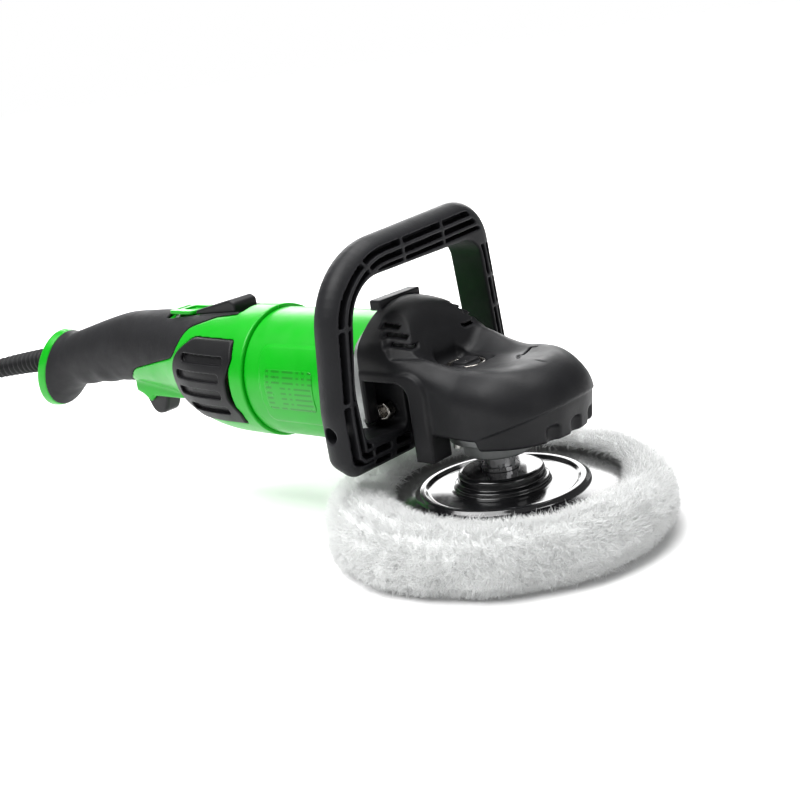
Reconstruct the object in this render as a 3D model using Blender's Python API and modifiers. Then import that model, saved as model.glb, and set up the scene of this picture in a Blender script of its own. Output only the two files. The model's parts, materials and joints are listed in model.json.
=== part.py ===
"""Rotary polisher: a corded two-stage right-angle polisher with a loop handle and a wool pad.

Frame: +Z up along the spindle, +X towards the nose, +Y to the tool's left.
The origin is the spindle axis on the pad's working face.
Sizes in this file are millimetres; MM turns them into Blender's metres.
"""
import math

import bmesh
import bpy
from mathutils import Matrix, Vector

MM = 0.001
MERGE = 0.00001
GAP = 0.3

# Driving dimensions
MOTOR_Z = 90.75
GEAR_CENTRES = 16.0
SHAFT_Z = MOTOR_Z - GEAR_CENTRES
BEVEL_PINION_TEETH = 12
BEVEL_GEAR_TEETH = 33
BEVEL_MODULE = 1.2
SPUR_PINION_TEETH = 8
SPUR_GEAR_TEETH = 24
SPUR_MODULE = 1.0
LOCK_RADIUS = 15.5
PAD_RADIUS = 100.0
PLATE_RADIUS = 88.0
HOUSING_RADIUS = 41.0
SEAM_X = -161.6
FLANGE_REAR_X = -70.0
FLANGE_RADIUS = 42.0
COVER_WALL = 2.7
HANDLE_FRONT_X = -41.0
HANDLE_DEPTH = 25.0
HANDLE_BOLT_Z = 81.0
TRIGGER_PIVOT = (-284.0, 0.0, 77.5)
PIN_HALF = 8.8
RUBBER = 2.0

BLACK = (0.022, 0.022, 0.025)
GREEN = (0.0, 0.55, 0.03)

# Lofted skins with many crossing cuts, which the exact solver leaves open
FREEFORM = ("bevel_gear", "bearing_cap", "gear_case", "gear_cover", "cover_hollow", "handle_shell_left",
            "handle_shell_right", "rubber_groove", "vent_pocket_left", "vent_pocket_right")

parts = bpy.data.collections.new("rotary_polisher")
cutters = bpy.data.collections.new("cutters")
materials = {}


# ---------------------------------------------------------------- helpers

def clear_scene():
    for leftover in list(bpy.data.objects):
        bpy.data.objects.remove(leftover, do_unlink=True)
    bpy.context.scene.collection.children.link(parts)
    bpy.context.scene.collection.children.link(cutters)


def material(name, colour, roughness, metallic=0.0):
    if name not in materials:
        made = bpy.data.materials.new(name)
        made.use_nodes = True
        shader = made.node_tree.nodes["Principled BSDF"]
        shader.inputs["Base Color"].default_value = (*colour, 1.0)
        shader.inputs["Roughness"].default_value = roughness
        shader.inputs["Metallic"].default_value = metallic
        materials[name] = made
    return materials[name]


def mm(x, y, z):
    return Vector((x, y, z)) * MM


def add_object(name, mesh, finish=None, smooth=True):
    """A part when it has a finish, otherwise a hidden cutter."""
    item = bpy.data.objects.new(name, mesh)
    if finish is None:
        item.hide_render = True
        item.display_type = "WIRE"
        cutters.objects.link(item)
        return item
    parts.objects.link(item)
    mesh.materials.append(finish)
    if smooth:
        mesh.shade_smooth()
        mesh.set_sharp_from_angle(angle=math.radians(35))
    return item


def mesh_from(bm, name):
    bmesh.ops.recalc_face_normals(bm, faces=bm.faces)
    mesh = bpy.data.meshes.new(name)
    bm.to_mesh(mesh)
    bm.free()
    return mesh


def box(name, low, high, finish=None):
    """A block between two opposite corners."""
    bm = bmesh.new()
    size = [b - a for a, b in zip(low, high)]
    middle = [(a + b) / 2 for a, b in zip(low, high)]
    bmesh.ops.create_cube(bm, size=1.0)
    bmesh.ops.scale(bm, vec=mm(*size), verts=bm.verts)
    item = add_object(name, mesh_from(bm, name), finish, smooth=False)
    item.location = mm(*middle)
    return item


def rod(name, start, end, radius, finish=None, segments=20):
    """A cylinder from start to end."""
    bm = bmesh.new()
    along = mm(*end) - mm(*start)
    bmesh.ops.create_cone(bm, cap_ends=True, segments=segments, radius1=radius * MM,
                          radius2=radius * MM, depth=along.length)
    item = add_object(name, mesh_from(bm, name), finish)
    item.location = (mm(*start) + mm(*end)) / 2
    item.rotation_euler = along.to_track_quat("Z", "Y").to_euler()
    return item


def turned(name, profile, origin, finish=None, axis="Z", segments=20, ring=False):
    """A turned piece: (radius, height) points down its outer side, about an axis through origin."""
    mesh = bpy.data.meshes.new(name)
    points = [mm(radius, 0, height) for radius, height in profile]
    edges = [(i, i + 1) for i in range(len(points) - 1)]
    if ring:
        edges.append((len(points) - 1, 0))
    mesh.from_pydata(points, edges, [])
    item = add_object(name, mesh, finish, smooth=False)
    screw = item.modifiers.new("turn", "SCREW")
    screw.steps = screw.render_steps = segments
    screw.use_merge_vertices = True
    screw.merge_threshold = MERGE
    item.location = mm(*origin)
    item.rotation_euler = {"X": (0, math.pi / 2, 0), "Z": (0, 0, 0),
                           "Y": (-math.pi / 2, 0, 0), "-Y": (math.pi / 2, 0, 0)}[axis]
    return item


def rounded(corners, arc_steps=4):
    """An outline from (u, v, radius) corners, each rounded to its radius."""
    outline = []
    count = len(corners)
    for index, (u, v, radius) in enumerate(corners):
        here = Vector((u, v))
        to_last = (Vector(corners[index - 1][:2]) - here).normalized()
        to_next = (Vector(corners[(index + 1) % count][:2]) - here).normalized()
        if radius <= 0:
            outline.append(tuple(here))
            continue
        half = to_last.angle(to_next) / 2
        centre = here + (to_last + to_next).normalized() * (radius / math.sin(half))
        first = here + to_last * (radius / math.tan(half)) - centre
        last = here + to_next * (radius / math.tan(half)) - centre
        turn = first.angle_signed(last)
        for step in range(arc_steps + 1):
            swing = Matrix.Rotation(-turn * step / arc_steps, 2)
            outline.append(tuple(centre + swing @ first))
    return outline


def plate(name, outline, across, low, high, finish=None, bevel=0.0):
    """A flat outline given thickness from low to high along the axis named by across.

    The outline is (y, z) for X, (x, z) for Y and (x, y) for Z.
    """
    curve = bpy.data.curves.new(name, "CURVE")
    curve.dimensions = "2D"
    curve.fill_mode = "BOTH"
    curve.extrude = ((high - low) / 2 - bevel) * MM
    curve.bevel_depth = bevel * MM
    curve.offset = -bevel * MM
    curve.bevel_resolution = 1
    spline = curve.splines.new("POLY")
    spline.points.add(len(outline) - 1)
    for point, (u, v) in zip(spline.points, outline):
        point.co = (u * MM, v * MM, 0, 1)
    spline.use_cyclic_u = True
    guide = bpy.data.objects.new(name + "_outline", curve)
    cutters.objects.link(guide)
    bpy.context.view_layer.update()
    graph = bpy.context.evaluated_depsgraph_get()
    mesh = bpy.data.meshes.new_from_object(guide.evaluated_get(graph))
    bpy.data.objects.remove(guide, do_unlink=True)
    turn = {"X": Matrix(((0, 0, 1, 0), (1, 0, 0, 0), (0, 1, 0, 0), (0, 0, 0, 1))),
            "Y": Matrix(((1, 0, 0, 0), (0, 0, -1, 0), (0, 1, 0, 0), (0, 0, 0, 1))),
            "Z": Matrix.Identity(4)}[across]
    middle = (low + high) / 2
    shift = {"X": mm(middle, 0, 0), "Y": mm(0, middle, 0), "Z": mm(0, 0, middle)}[across]
    bm = bmesh.new()
    bm.from_mesh(mesh)
    bmesh.ops.remove_doubles(bm, verts=bm.verts, dist=MERGE)
    bmesh.ops.transform(bm, matrix=Matrix.Translation(shift) @ turn, verts=bm.verts)
    return add_object(name, mesh_from(bm, name), finish, smooth=False)


def loft(name, rings, finish=None):
    """A skin through rings of equal count, capped at both ends.

    Every four-sided face is split along the same diagonal, so that two nested skins stay parallel.
    """
    bm = bmesh.new()
    rows = [[bm.verts.new(mm(*point)) for point in ring] for ring in rings]
    for row, after in zip(rows, rows[1:]):
        for i in range(len(row)):
            j = (i + 1) % len(row)
            bm.faces.new((row[i], row[j], after[j]))
            bm.faces.new((row[i], after[j], after[i]))
    bm.faces.new(rows[0])
    bm.faces.new(rows[-1])
    return add_object(name, mesh_from(bm, name), finish)


def boolean(item, tool, operation="DIFFERENCE"):
    step = item.modifiers.new(operation.lower(), "BOOLEAN")
    step.operation = operation
    if item.name in FREEFORM:
        step.solver = "MANIFOLD"
    step.object = tool
    return item


def carve(item, *tools):
    for tool in tools:
        boolean(item, tool)
    return item


def join(item, *tools):
    for tool in tools:
        boolean(item, tool, "UNION")
    return item


def pivot_at(item, point):
    """Move an item's origin to a world point without moving its shape."""
    shift = mm(*point)
    item.data.transform(Matrix.Translation(item.location - shift))
    item.location = shift
    return item


# ---------------------------------------------------------------- rear housing sections

# Along the rear housing and grip: x, z of the middle, lean in degrees, half height, half width, wall
STATIONS = (
    (SEAM_X - GAP, 90.9, 0, 43.1, 43.1, 3.0),
    (-180.0, 90.8, 0, 42.9, 42.8, 3.0),
    (-200.0, 90.6, 0, 42.0, 42.0, 3.0),
    (-218.0, 91.5, 0, 40.0, 39.6, 3.2),
    (-234.0, 93.5, 0, 36.6, 35.0, 4.0),
    (-248.0, 96.5, 1, 32.6, 30.0, 5.2),
    (-262.0, 98.7, 3, 29.8, 26.6, 5.2),
    (-280.0, 99.8, 5, 28.0, 24.2, 5.2),
    (-300.0, 99.0, 8, 26.4, 22.4, 5.2),
    (-320.0, 96.5, 12, 24.0, 20.8, 5.2),
    (-345.0, 91.0, 17, 20.4, 19.2, 5.2),
    (-370.0, 84.5, 20, 18.2, 18.0, 5.2),
    (-390.0, 80.0, 20, 18.6, 17.8, 5.2),
    (-402.0, 78.2, 20, 25.0, 19.6, 9.0),
    (-410.0, 78.4, 20, 30.5, 21.4, 13.4),
)
# The end flange continues behind the last grip section
FLANGE_STATIONS = (
    (-410.6, 78.5, 20, 32.8, 22.6, 14.8),
    (-417.0, 78.7, 20, 33.2, 23.0, 15.2),
    (-419.4, 78.8, 20, 31.4, 21.4, 13.8),
)


def section_point(station, angle, offset):
    """A point on a leaning oval section, angle 0 on the tool's left and 90 degrees on top."""
    x, z, lean, high, wide, _ = station
    up = (high + offset) * math.sin(angle)
    side = (wide + offset) * math.cos(angle)
    tilt = math.radians(lean)
    return (x + up * math.sin(tilt), side, z + up * math.cos(tilt))


def sleeve(name, outer, inner, stations=STATIONS, finish=None, count=24):
    """A tube between two offsets of the housing's skin."""
    bm = bmesh.new()
    loops = []
    for station in stations:
        row = []
        for offset in (outer, inner):
            angles = [2 * math.pi * (i + 0.5) / count for i in range(count)]
            row.append([bm.verts.new(mm(*section_point(station, a, offset))) for a in angles])
        loops.append(row)
    for i in range(count):
        j = (i + 1) % count
        for (out_a, in_a), (out_b, in_b) in zip(loops, loops[1:]):
            bm.faces.new((out_a[i], out_a[j], out_b[j]))
            bm.faces.new((out_a[i], out_b[j], out_b[i]))
            bm.faces.new((in_a[i], in_b[j], in_a[j]))
            bm.faces.new((in_a[i], in_b[i], in_b[j]))
        for out_end, in_end in (loops[0], loops[-1]):
            bm.faces.new((out_end[i], out_end[j], in_end[j], in_end[i]))
    return add_object(name, mesh_from(bm, name), finish)


def half_shell(name, side, finish, count=12):
    """One half of the clamshell: outer arc and inner arc lofted along the stations."""
    rings = []
    seam = GAP / 2
    for station in STATIONS + FLANGE_STATIONS:
        angles = [math.pi / 2 - math.pi * i / count for i in range(count + 1)]
        outer = [section_point(station, a, 0) for a in angles]
        bore = [section_point(station, a, -station[5]) for a in reversed(angles)]
        ring = [(x, side * max(y, seam), z) for x, y, z in outer + bore]
        rings.append(ring)
    return loft(name, rings, finish)


# ---------------------------------------------------------------- gear head shape

NOSE_X = 14.0
NOSE_LENGTH = 46.0
NOSE_WIDTH = 45.0
NECK_WIDTH = 42.0
DECK_Z = 106.0
SKIRT_Z = 69.0
NECK_BOTTOM_Z = 56.0
HUMP_RADIUS = 50.5
HUMP_REAR_X = -66.0
HEAD_CENTRE_Z = 86.0


def soft_max(a, b, radius):
    """The larger of two distances, with the corner between them rounded."""
    a += radius
    b += radius
    outside = math.hypot(max(a, 0), max(b, 0))
    return outside + min(max(a, b), 0) - radius


def soft_min(a, b, blend):
    mix = max(blend - abs(a - b), 0) / blend
    return min(a, b) - mix * mix * blend / 4


def head_distance(x, y, z):
    """Signed distance to the gear head's outer skin; negative inside."""
    forward = max(x - NOSE_X, 0) / NOSE_LENGTH
    taper = min(max((NOSE_X - x) / 50, 0), 1)
    width = NOSE_WIDTH + (NECK_WIDTH - NOSE_WIDTH) * taper
    plan = ((forward ** 2.4 + (abs(y) / width) ** 2.4) ** (1 / 2.4) - 1) * width
    deck = DECK_Z + 5.0 * min(max((x + 10) / 35, 0), 1)
    neck = min(max((-24 - x) / 4, 0), 1)
    floor = SKIRT_Z + (NECK_BOTTOM_Z - SKIRT_Z) * neck
    body = soft_max(plan, z - deck, 15)
    body = soft_max(body, floor - z, 3)
    slope = ((x + 33) + (z - 108) * 0.38) / math.hypot(1, 0.38)
    hump = math.hypot(y, z - MOTOR_Z) - HUMP_RADIUS
    hump = soft_max(hump, slope, 9)
    hump = max(hump, MOTOR_Z + 4 - z)
    return soft_min(body, hump, 5)


def head_reach(x, angle, offset):
    """How far the skin is from the head's middle line, along an angle, less an offset."""
    direction = (math.cos(angle), math.sin(angle))
    low, high = 0.0, 75.0
    for _ in range(24):
        middle = (low + high) / 2
        y = middle * direction[0]
        z = HEAD_CENTRE_Z + middle * direction[1]
        if head_distance(x, y, z) < -offset:
            low = middle
        else:
            high = middle
    return low


def head_solid(name, offset, rear_x, finish=None, count=26):
    """The gear head's skin moved inwards by offset, from rear_x to the nose."""
    tip = NOSE_X + NOSE_LENGTH - offset
    stations = [rear_x, -47, -41, -36, -32, -28, -24, -17, 2, 14]
    steps = 5
    for step in range(1, steps + 1):
        stations.append(NOSE_X + (tip - NOSE_X) * math.sin(math.pi / 2 * step / steps * 0.985))
    rings = []
    for x in stations:
        ring = []
        for i in range(count):
            angle = 2 * math.pi * i / count
            reach = max(head_reach(x, angle, offset), 0.4)
            ring.append((x, reach * math.cos(angle), HEAD_CENTRE_Z + reach * math.sin(angle)))
        rings.append(ring)
    return loft(name, rings, finish)


def foot_recess(name, side, grow):
    """The seat for the loop handle's foot, cut in from one side; grow widens it."""
    outline = rounded([(-75.0, 40.0, 0), (-20.0 + grow, 40.0, 0),
                       (-20.0 + grow, 99.5 + grow, 10.0 + grow), (-75.0, 99.5 + grow, 0)])
    near, far = 26.5 - grow, 70.0
    low, high = (near, far) if side > 0 else (-far, -near)
    return plate(name, outline, "Y", low, high)


# ---------------------------------------------------------------- drive: spindle side

def bevel_wheel(name, teeth, mate_teeth, face, origin, finish, back, bore, thin):
    """A bevel gear about Z with its large end below; back is the body behind the teeth."""
    pitch = teeth * BEVEL_MODULE / 2
    cone = math.atan(teeth / mate_teeth)
    apex = pitch / math.tan(cone)
    shrink = 1 - face / math.hypot(pitch, apex)
    addendum, dedendum = 0.75 * BEVEL_MODULE, 1.35 * BEVEL_MODULE

    def ring(scale, turn_by):
        points = []
        for tooth in range(teeth):
            start = 2 * math.pi * tooth / teeth + turn_by
            step = 2 * math.pi / teeth
            for share, height in ((-0.35, -dedendum), (-thin, addendum), (thin, addendum),
                                  (0.35, -dedendum)):
                radius = (pitch + height * math.cos(cone)) * scale
                level = apex - (apex - height * math.sin(cone)) * scale
                angle = start + share * step
                points.append((radius * math.cos(angle), radius * math.sin(angle), level))
        return points

    large, small = ring(1.0, 0.0), ring(shrink, 0.0)
    bm = bmesh.new()
    base = [(x, y, -back) for x, y, _ in large]
    rows = [[bm.verts.new(mm(*p)) for p in r] for r in (base, large, small)]
    for row, after in zip(rows, rows[1:]):
        for i in range(len(row)):
            j = (i + 1) % len(row)
            bm.faces.new((row[i], row[j], after[j], after[i]))
    bm.faces.new(rows[0])
    bm.faces.new(rows[-1])
    item = add_object(name, mesh_from(bm, name), finish, smooth=False)
    item.location = mm(*origin)
    if bore:
        hole = rod(name + "_bore", (0, 0, -30), (0, 0, 30), bore)
        hole.parent = item
        carve(item, hole)
    return item


def spur_wheel(name, teeth, width, x, z, finish, bore=0.0, thin=0.17, phase=0.0):
    """A spur gear about the X direction, starting at x and running forward by width."""
    pitch = teeth * SPUR_MODULE / 2
    points = []
    for tooth in range(teeth):
        start = 2 * math.pi * (tooth + phase) / teeth
        step = 2 * math.pi / teeth
        for share, radius in ((-0.34, pitch - 1.3), (-thin, pitch + 0.7), (thin, pitch + 0.7),
                              (0.34, pitch - 1.3)):
            angle = start + share * step
            points.append((radius * math.cos(angle), radius * math.sin(angle)))
    rings = [[(end, y, v) for y, v in points] for end in (0, width)]
    item = loft(name, rings, finish)
    item.location = mm(x, 0, z)
    if bore:
        hole = rod(name + "_bore", (-5, 0, 0), (width + 5, 0, 0), bore)
        hole.parent = item
        carve(item, hole)
    return item


def ball_bearing(name, inner, outer, low, high, at, axis):
    """A sealed bearing drawn as one ring with a shallow groove on its upper side."""
    steel = material("bearing_steel", (0.55, 0.56, 0.58), 0.25, 1.0)
    mid_in, mid_out = inner + (outer - inner) * 0.3, inner + (outer - inner) * 0.7
    dip = 0.5
    profile = [(outer, high), (outer, low), (inner, low), (inner, high), (mid_in, high),
               (mid_in, high - dip), (mid_out, high - dip), (mid_out, high)]
    return turned(name, profile, at, steel, axis, segments=16, ring=True)


BEVEL_PLANE_Z = SHAFT_Z + BEVEL_PINION_TEETH * BEVEL_MODULE / 2


def build_spindle():
    steel = material("machined_steel", (0.42, 0.42, 0.43), 0.3, 1.0)
    profile = [(0, 95.4), (5, 95.4), (5, 90.2), (6, 90.2), (6, 67.0), (7.5, 67.0), (7.5, 52.5),
               (9.2, 52.5), (9.2, 43.6), (7.0, 43.6), (7.0, 31.2), (0, 31.2)]
    turned("spindle", profile, (0, 0, 0), steel)
    washer = [(11.0, 43.3), (11.0, 41.3), (7.3, 41.3), (7.3, 43.3)]
    turned("hub_washer", washer, (0, 0, 0), steel, ring=True)


def build_bevel_gear():
    """The driven bevel gear hangs teeth down; its back has four holes for the lock pin."""
    steel = material("gear_steel", (0.30, 0.30, 0.32), 0.35, 1.0)
    gear = bevel_wheel("bevel_gear", BEVEL_GEAR_TEETH, BEVEL_PINION_TEETH, 7.0, (0, 0, BEVEL_PLANE_Z),
                       steel, back=5.0, bore=6.3, thin=0.13)
    gear.rotation_euler = (math.pi, 0, 0)
    for index in range(4):
        angle = math.pi / 2 * index
        x, y = LOCK_RADIUS * math.cos(angle), LOCK_RADIUS * math.sin(angle)
        hole = rod(f"lock_hole_{index}", (x, y, -12), (x, y, -0.9), 2.6, segments=12)
        hole.parent = gear
        carve(gear, hole)


def build_intermediate_shaft():
    steel = material("gear_steel", (0.30, 0.30, 0.32), 0.35, 1.0)
    pitch_x = -BEVEL_GEAR_TEETH * BEVEL_MODULE / 2
    pinion = bevel_wheel("bevel_pinion", BEVEL_PINION_TEETH, BEVEL_GEAR_TEETH, 7.0,
                         (pitch_x, 0, SHAFT_Z), steel, back=2.5, bore=0, thin=0.13)
    pinion.rotation_euler = (0, math.pi / 2, 0)
    shaft = rod("pinion_shaft_rod", (-61.5, 0, SHAFT_Z), (pitch_x - 1.0, 0, SHAFT_Z), 4.0)
    shaft.parent = pinion
    shaft.matrix_parent_inverse = (Matrix.Translation(mm(pitch_x, 0, SHAFT_Z))
                                   @ Matrix.Rotation(math.pi / 2, 4, "Y")).inverted()
    join(pinion, shaft)
    spur_wheel("spur_gear", SPUR_GEAR_TEETH, 8.0, -55.0, SHAFT_Z, steel, bore=4.3)
    ball_bearing("pinion_bearing_front", 4.3, 7.5, -3.5, 3.5, (-27.5, 0, SHAFT_Z), "X")
    ball_bearing("pinion_bearing_rear", 4.3, 7.5, -2.0, 2.0, (-59.5, 0, SHAFT_Z), "X")


def build_armature():
    steel = material("machined_steel", (0.42, 0.42, 0.43), 0.3, 1.0)
    gear_steel = material("gear_steel", (0.30, 0.30, 0.32), 0.35, 1.0)
    iron = material("lamination", (0.22, 0.22, 0.24), 0.5, 0.9)
    copper = material("copper", (0.72, 0.33, 0.14), 0.35, 1.0)
    nylon = material("white_nylon", (0.75, 0.75, 0.72), 0.5)
    shaft = rod("armature_shaft", (-201.0, 0, MOTOR_Z), (-60.0, 0, MOTOR_Z), 4.0, steel)
    nose = rod("armature_nose", (-61.0, 0, MOTOR_Z), (-57.0, 0, MOTOR_Z), 2.4)
    nose.parent = shaft
    nose.matrix_parent_inverse = (Matrix.Translation(shaft.location)
                                  @ shaft.rotation_euler.to_matrix().to_4x4()).inverted()
    join(shaft, nose)
    spur_wheel("motor_pinion", SPUR_PINION_TEETH, 9.0, -56.0, MOTOR_Z, gear_steel, phase=0.5)
    core = [(21.5, 25), (21.5, -25), (4.3, -25), (4.3, 25)]
    turned("armature_core", core, (-125.0, 0, MOTOR_Z), iron, "X", ring=True)
    winding = [(16.0, 8), (19.0, 5), (19.0, -8), (4.3, -8), (4.3, 8)]
    turned("armature_winding_front", winding, (-91.4, 0, MOTOR_Z), copper, "X", ring=True)
    back_winding = [(19.0, 7), (19.0, -4), (14.0, -7), (4.3, -7), (4.3, 7)]
    turned("armature_winding_rear", back_winding, (-157.4, 0, MOTOR_Z), copper, "X", ring=True)
    bars = [(12.0, 8), (12.0, -8), (4.3, -8), (4.3, 8)]
    turned("commutator", bars, (-173.0, 0, MOTOR_Z), copper, "X", ring=True)
    hub = [(8.0, 3.0), (30.6, 3.0), (30.6, -3.0), (8.0, -1.0), (4.3, -1.0), (4.3, 3.0)]
    turned("cooling_fan", hub, (-77.0, 0, MOTOR_Z), nylon, "X", ring=True)
    ball_bearing("armature_bearing_front", 4.3, 11.0, -3.5, 3.5, (-67.0, 0, MOTOR_Z), "X")
    ball_bearing("armature_bearing_rear", 4.3, 9.5, -3.5, 3.5, (-193.0, 0, MOTOR_Z), "X")


def build_motor_fixed():
    iron = material("lamination", (0.22, 0.22, 0.24), 0.5, 0.9)
    copper = material("copper", (0.72, 0.33, 0.14), 0.35, 1.0)
    nylon = material("black_nylon", BLACK, 0.5)
    brass = material("brass", (0.75, 0.55, 0.2), 0.3, 1.0)
    carbon = material("carbon", (0.05, 0.05, 0.055), 0.6)
    stator = [(33.0, 25), (33.0, -25), (24.5, -25), (24.5, 25)]
    turned("field_stator", stator, (-125.0, 0, MOTOR_Z), iron, "X", ring=True)
    coil = [(30.8, 4), (30.8, -4), (25.0, -4), (25.0, 4)]
    turned("field_coil_front", coil, (-95.4, 0, MOTOR_Z), copper, "X", ring=True)
    turned("field_coil_rear", coil, (-154.6, 0, MOTOR_Z), copper, "X", ring=True)
    shroud = [(30.9, 1.2), (30.9, -1.2), (24.0, -1.2), (24.0, 1.2)]
    turned("fan_baffle", shroud, (-84.0, 0, MOTOR_Z), nylon, "X", ring=True)
    seat = [(15.0, 5.0), (15.0, -6.0), (6.0, -6.0), (6.0, -4.0), (9.8, -4.0), (9.8, 5.0)]
    turned("rear_bearing_seat", seat, (-193.0, 0, MOTOR_Z), nylon, "X", ring=True)
    for side, word in ((1, "left"), (-1, "right")):
        low, high = sorted((side * 15.0, side * 32.0))
        holder = box(f"brush_holder_{word}", (-179.0, low, MOTOR_Z - 5.5), (-167.0, high, MOTOR_Z + 5.5),
                     brass)
        low, high = sorted((side * 10.0, side * 30.0))
        slot = box(f"brush_slot_{word}", (-177.3, low, MOTOR_Z - 3.8), (-168.7, high, MOTOR_Z + 3.8))
        carve(holder, slot)
        low, high = sorted((side * 12.4, side * 23.0))
        box(f"carbon_brush_{word}", (-177.0, low, MOTOR_Z - 3.5), (-169.0, high, MOTOR_Z + 3.5), carbon)


# ---------------------------------------------------------------- gear head

def build_gear_case():
    """The cast case: a hollow head with a flange that closes the motor housing."""
    cast = material("cast_aluminium", (0.50, 0.51, 0.50), 0.45, 0.9)
    inset = COVER_WALL + 1.1
    case = head_solid("gear_case", inset, -64.4, cast)
    for side in (-1, 1):
        carve(case, foot_recess(f"case_recess_{side}", side, inset))
    flange = rod("case_flange", (FLANGE_REAR_X, 0, MOTOR_Z), (-64.0, 0, MOTOR_Z), FLANGE_RADIUS,
                 segments=40)
    neck = rod("case_mouth", (0, 0, 66.2), (0, 0, 75.0), 27.5, segments=32)
    join(case, flange, neck)
    chamber = rod("gear_chamber", (0, 0, 60.0), (0, 0, 90.0), 21.6, segments=32)
    shaft_bore = rod("shaft_bore", (-61.9, 0, SHAFT_Z), (-10.0, 0, SHAFT_Z), 7.9)
    bevel_room = rod("bevel_room", (-22.7, 0, SHAFT_Z), (-10.0, 0, SHAFT_Z), 8.4)
    spur_room = rod("spur_room", (-57.2, 0, SHAFT_Z), (-45.0, 0, SHAFT_Z), 14.6)
    pinion_room = rod("pinion_room", (-80.0, 0, MOTOR_Z), (-44.0, 0, MOTOR_Z), 7.0)
    bearing_room = rod("bearing_room", (-80.0, 0, MOTOR_Z), (-63.2, 0, MOTOR_Z), 11.3)
    top_room = rod("top_room", (0, 0, 88.0), (0, 0, 95.8), 8.9)
    lock_bore = rod("lock_bore", (-LOCK_RADIUS, 0, 85.0), (-LOCK_RADIUS, 0, 112.0), 2.9, segments=20)
    spring_room = rod("spring_room", (-LOCK_RADIUS, 0, 92.0), (-LOCK_RADIUS, 0, 112.0), 4.6)
    button_room = rod("button_room", (-LOCK_RADIUS, 0, 97.4), (-LOCK_RADIUS, 0, 112.0), 9.0)
    ring_room = rod("ring_room", (-LOCK_RADIUS, 0, 102.5), (-LOCK_RADIUS, 0, 112.0), 11.5)
    carve(case, chamber, shaft_bore, bevel_room, spur_room, pinion_room, bearing_room, top_room, lock_bore,
          spring_room, button_room, ring_room)
    for index, (y, z) in enumerate(CASE_SCREW_PLACES):
        pocket = rod(f"screw_pocket_{index}", (-64.2, y, z), (-20.0, y, z), 4.6, segments=16)
        clearance = rod(f"screw_clearance_{index}", (-80.0, y, z), (-60.0, y, z), 2.6, segments=16)
        carve(case, pocket, clearance)
    for side in (-1, 1):
        thread = rod(f"bolt_bore_{side}", (-53.5, side * 16.0, HANDLE_BOLT_Z),
                     (-53.5, side * 40.0, HANDLE_BOLT_Z), 4.3, segments=20)
        carve(case, thread)
    for index in range(CAP_SCREWS):
        x, y = cap_screw_place(index)
        carve(case, rod(f"cap_thread_{index}", (x, y, 60.0), (x, y, 74.0), 1.9, segments=12))


CASE_SCREW_PLACES = ((25.6, 116.4), (-25.6, 116.4), (13.0, 56.5), (-13.0, 56.5))
CAP_SCREW_RADIUS = 24.4
CAP_SCREWS = 3


def cap_screw_place(index):
    angle = 2 * math.pi * index / CAP_SCREWS
    return CAP_SCREW_RADIUS * math.cos(angle), CAP_SCREW_RADIUS * math.sin(angle)


def build_gear_cover():
    """The rubber boot over the gear case, open at the rear and underneath."""
    rubber = material("cover_rubber", BLACK, 0.55)
    cover = head_solid("gear_cover", 0.0, HUMP_REAR_X + 2.0, rubber)
    hollow = head_solid("cover_hollow", COVER_WALL, -70.0)
    for side in (-1, 1):
        carve(cover, foot_recess(f"cover_recess_{side}", side, 0.0))
        carve(hollow, foot_recess(f"hollow_recess_{side}", side, COVER_WALL))
    carve(cover, hollow)
    carve(cover, box("cover_underside", (-90.0, -19.0, 40.0), (-22.0, 19.0, 62.0)))
    carve(cover, rod("cover_mouth", (0.2, 0.1, 50.0), (0.2, 0.1, 74.0), 29.3, segments=28))
    carve(cover, rod("button_window", (-LOCK_RADIUS, 0, 90.0), (-LOCK_RADIUS, 0, 120.0), 12.0))
    carve(cover, box("cover_rear", (-90.0, -60.0, 40.0), (HUMP_REAR_X + 3.0, 60.0, 150.0)))
    for side in (-1, 1):
        for index in range(3):
            low_z = 122.6 + 4.6 * index
            low, high = sorted((side * 28.0, side * 60.0))
            slot = box(f"cover_vent_{side}_{index}", (-40.0, low, low_z), (-25.0, high, low_z + 2.2))
            carve(cover, slot)
        seat = rod(f"cover_bolt_{side}", (-53.5, side * 10.0, HANDLE_BOLT_Z),
                   (-53.5, side * 40.0, HANDLE_BOLT_Z), 6.0, segments=20)
        carve(cover, seat)


def build_bearing_cap():
    cast = material("cast_aluminium", (0.50, 0.51, 0.50), 0.45, 0.9)
    profile = [(27.3, 65.9), (27.3, 61.5), (20.0, 61.5), (19.6, 51.7), (10.0, 51.7), (10.0, 54.0),
               (17.4, 54.0), (17.4, 65.9)]
    cap = turned("bearing_cap", profile, (0, 0, 0), cast, ring=True)
    carve(cap, box("cap_flat", (-40.0, -30.0, 60.0), (-22.4, 30.0, 70.0)))
    screws = material("zinc_screw", (0.6, 0.6, 0.58), 0.35, 1.0)
    for index in range(CAP_SCREWS):
        x, y = cap_screw_place(index)
        carve(cap, rod(f"cap_hole_{index}", (x, y, 50.0), (x, y, 70.0), 1.9, segments=12))
        profile = [(0, 11.0), (1.5, 11.0), (1.5, 0), (2.6, 0), (2.6, -2.4), (1.4, -2.4), (1.4, -1.2), (0, -1.2)]
        turned(f"cap_screw_{index + 1}", profile, (x, y, 61.2), screws, segments=12)
    ball_bearing("spindle_bearing_lower", 7.8, 17.1, 54.3, 65.0, (0, 0, 0), "Z")
    ball_bearing("spindle_bearing_upper", 5.3, 8.6, 90.5, 95.5, (0, 0, 0), "Z")


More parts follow.
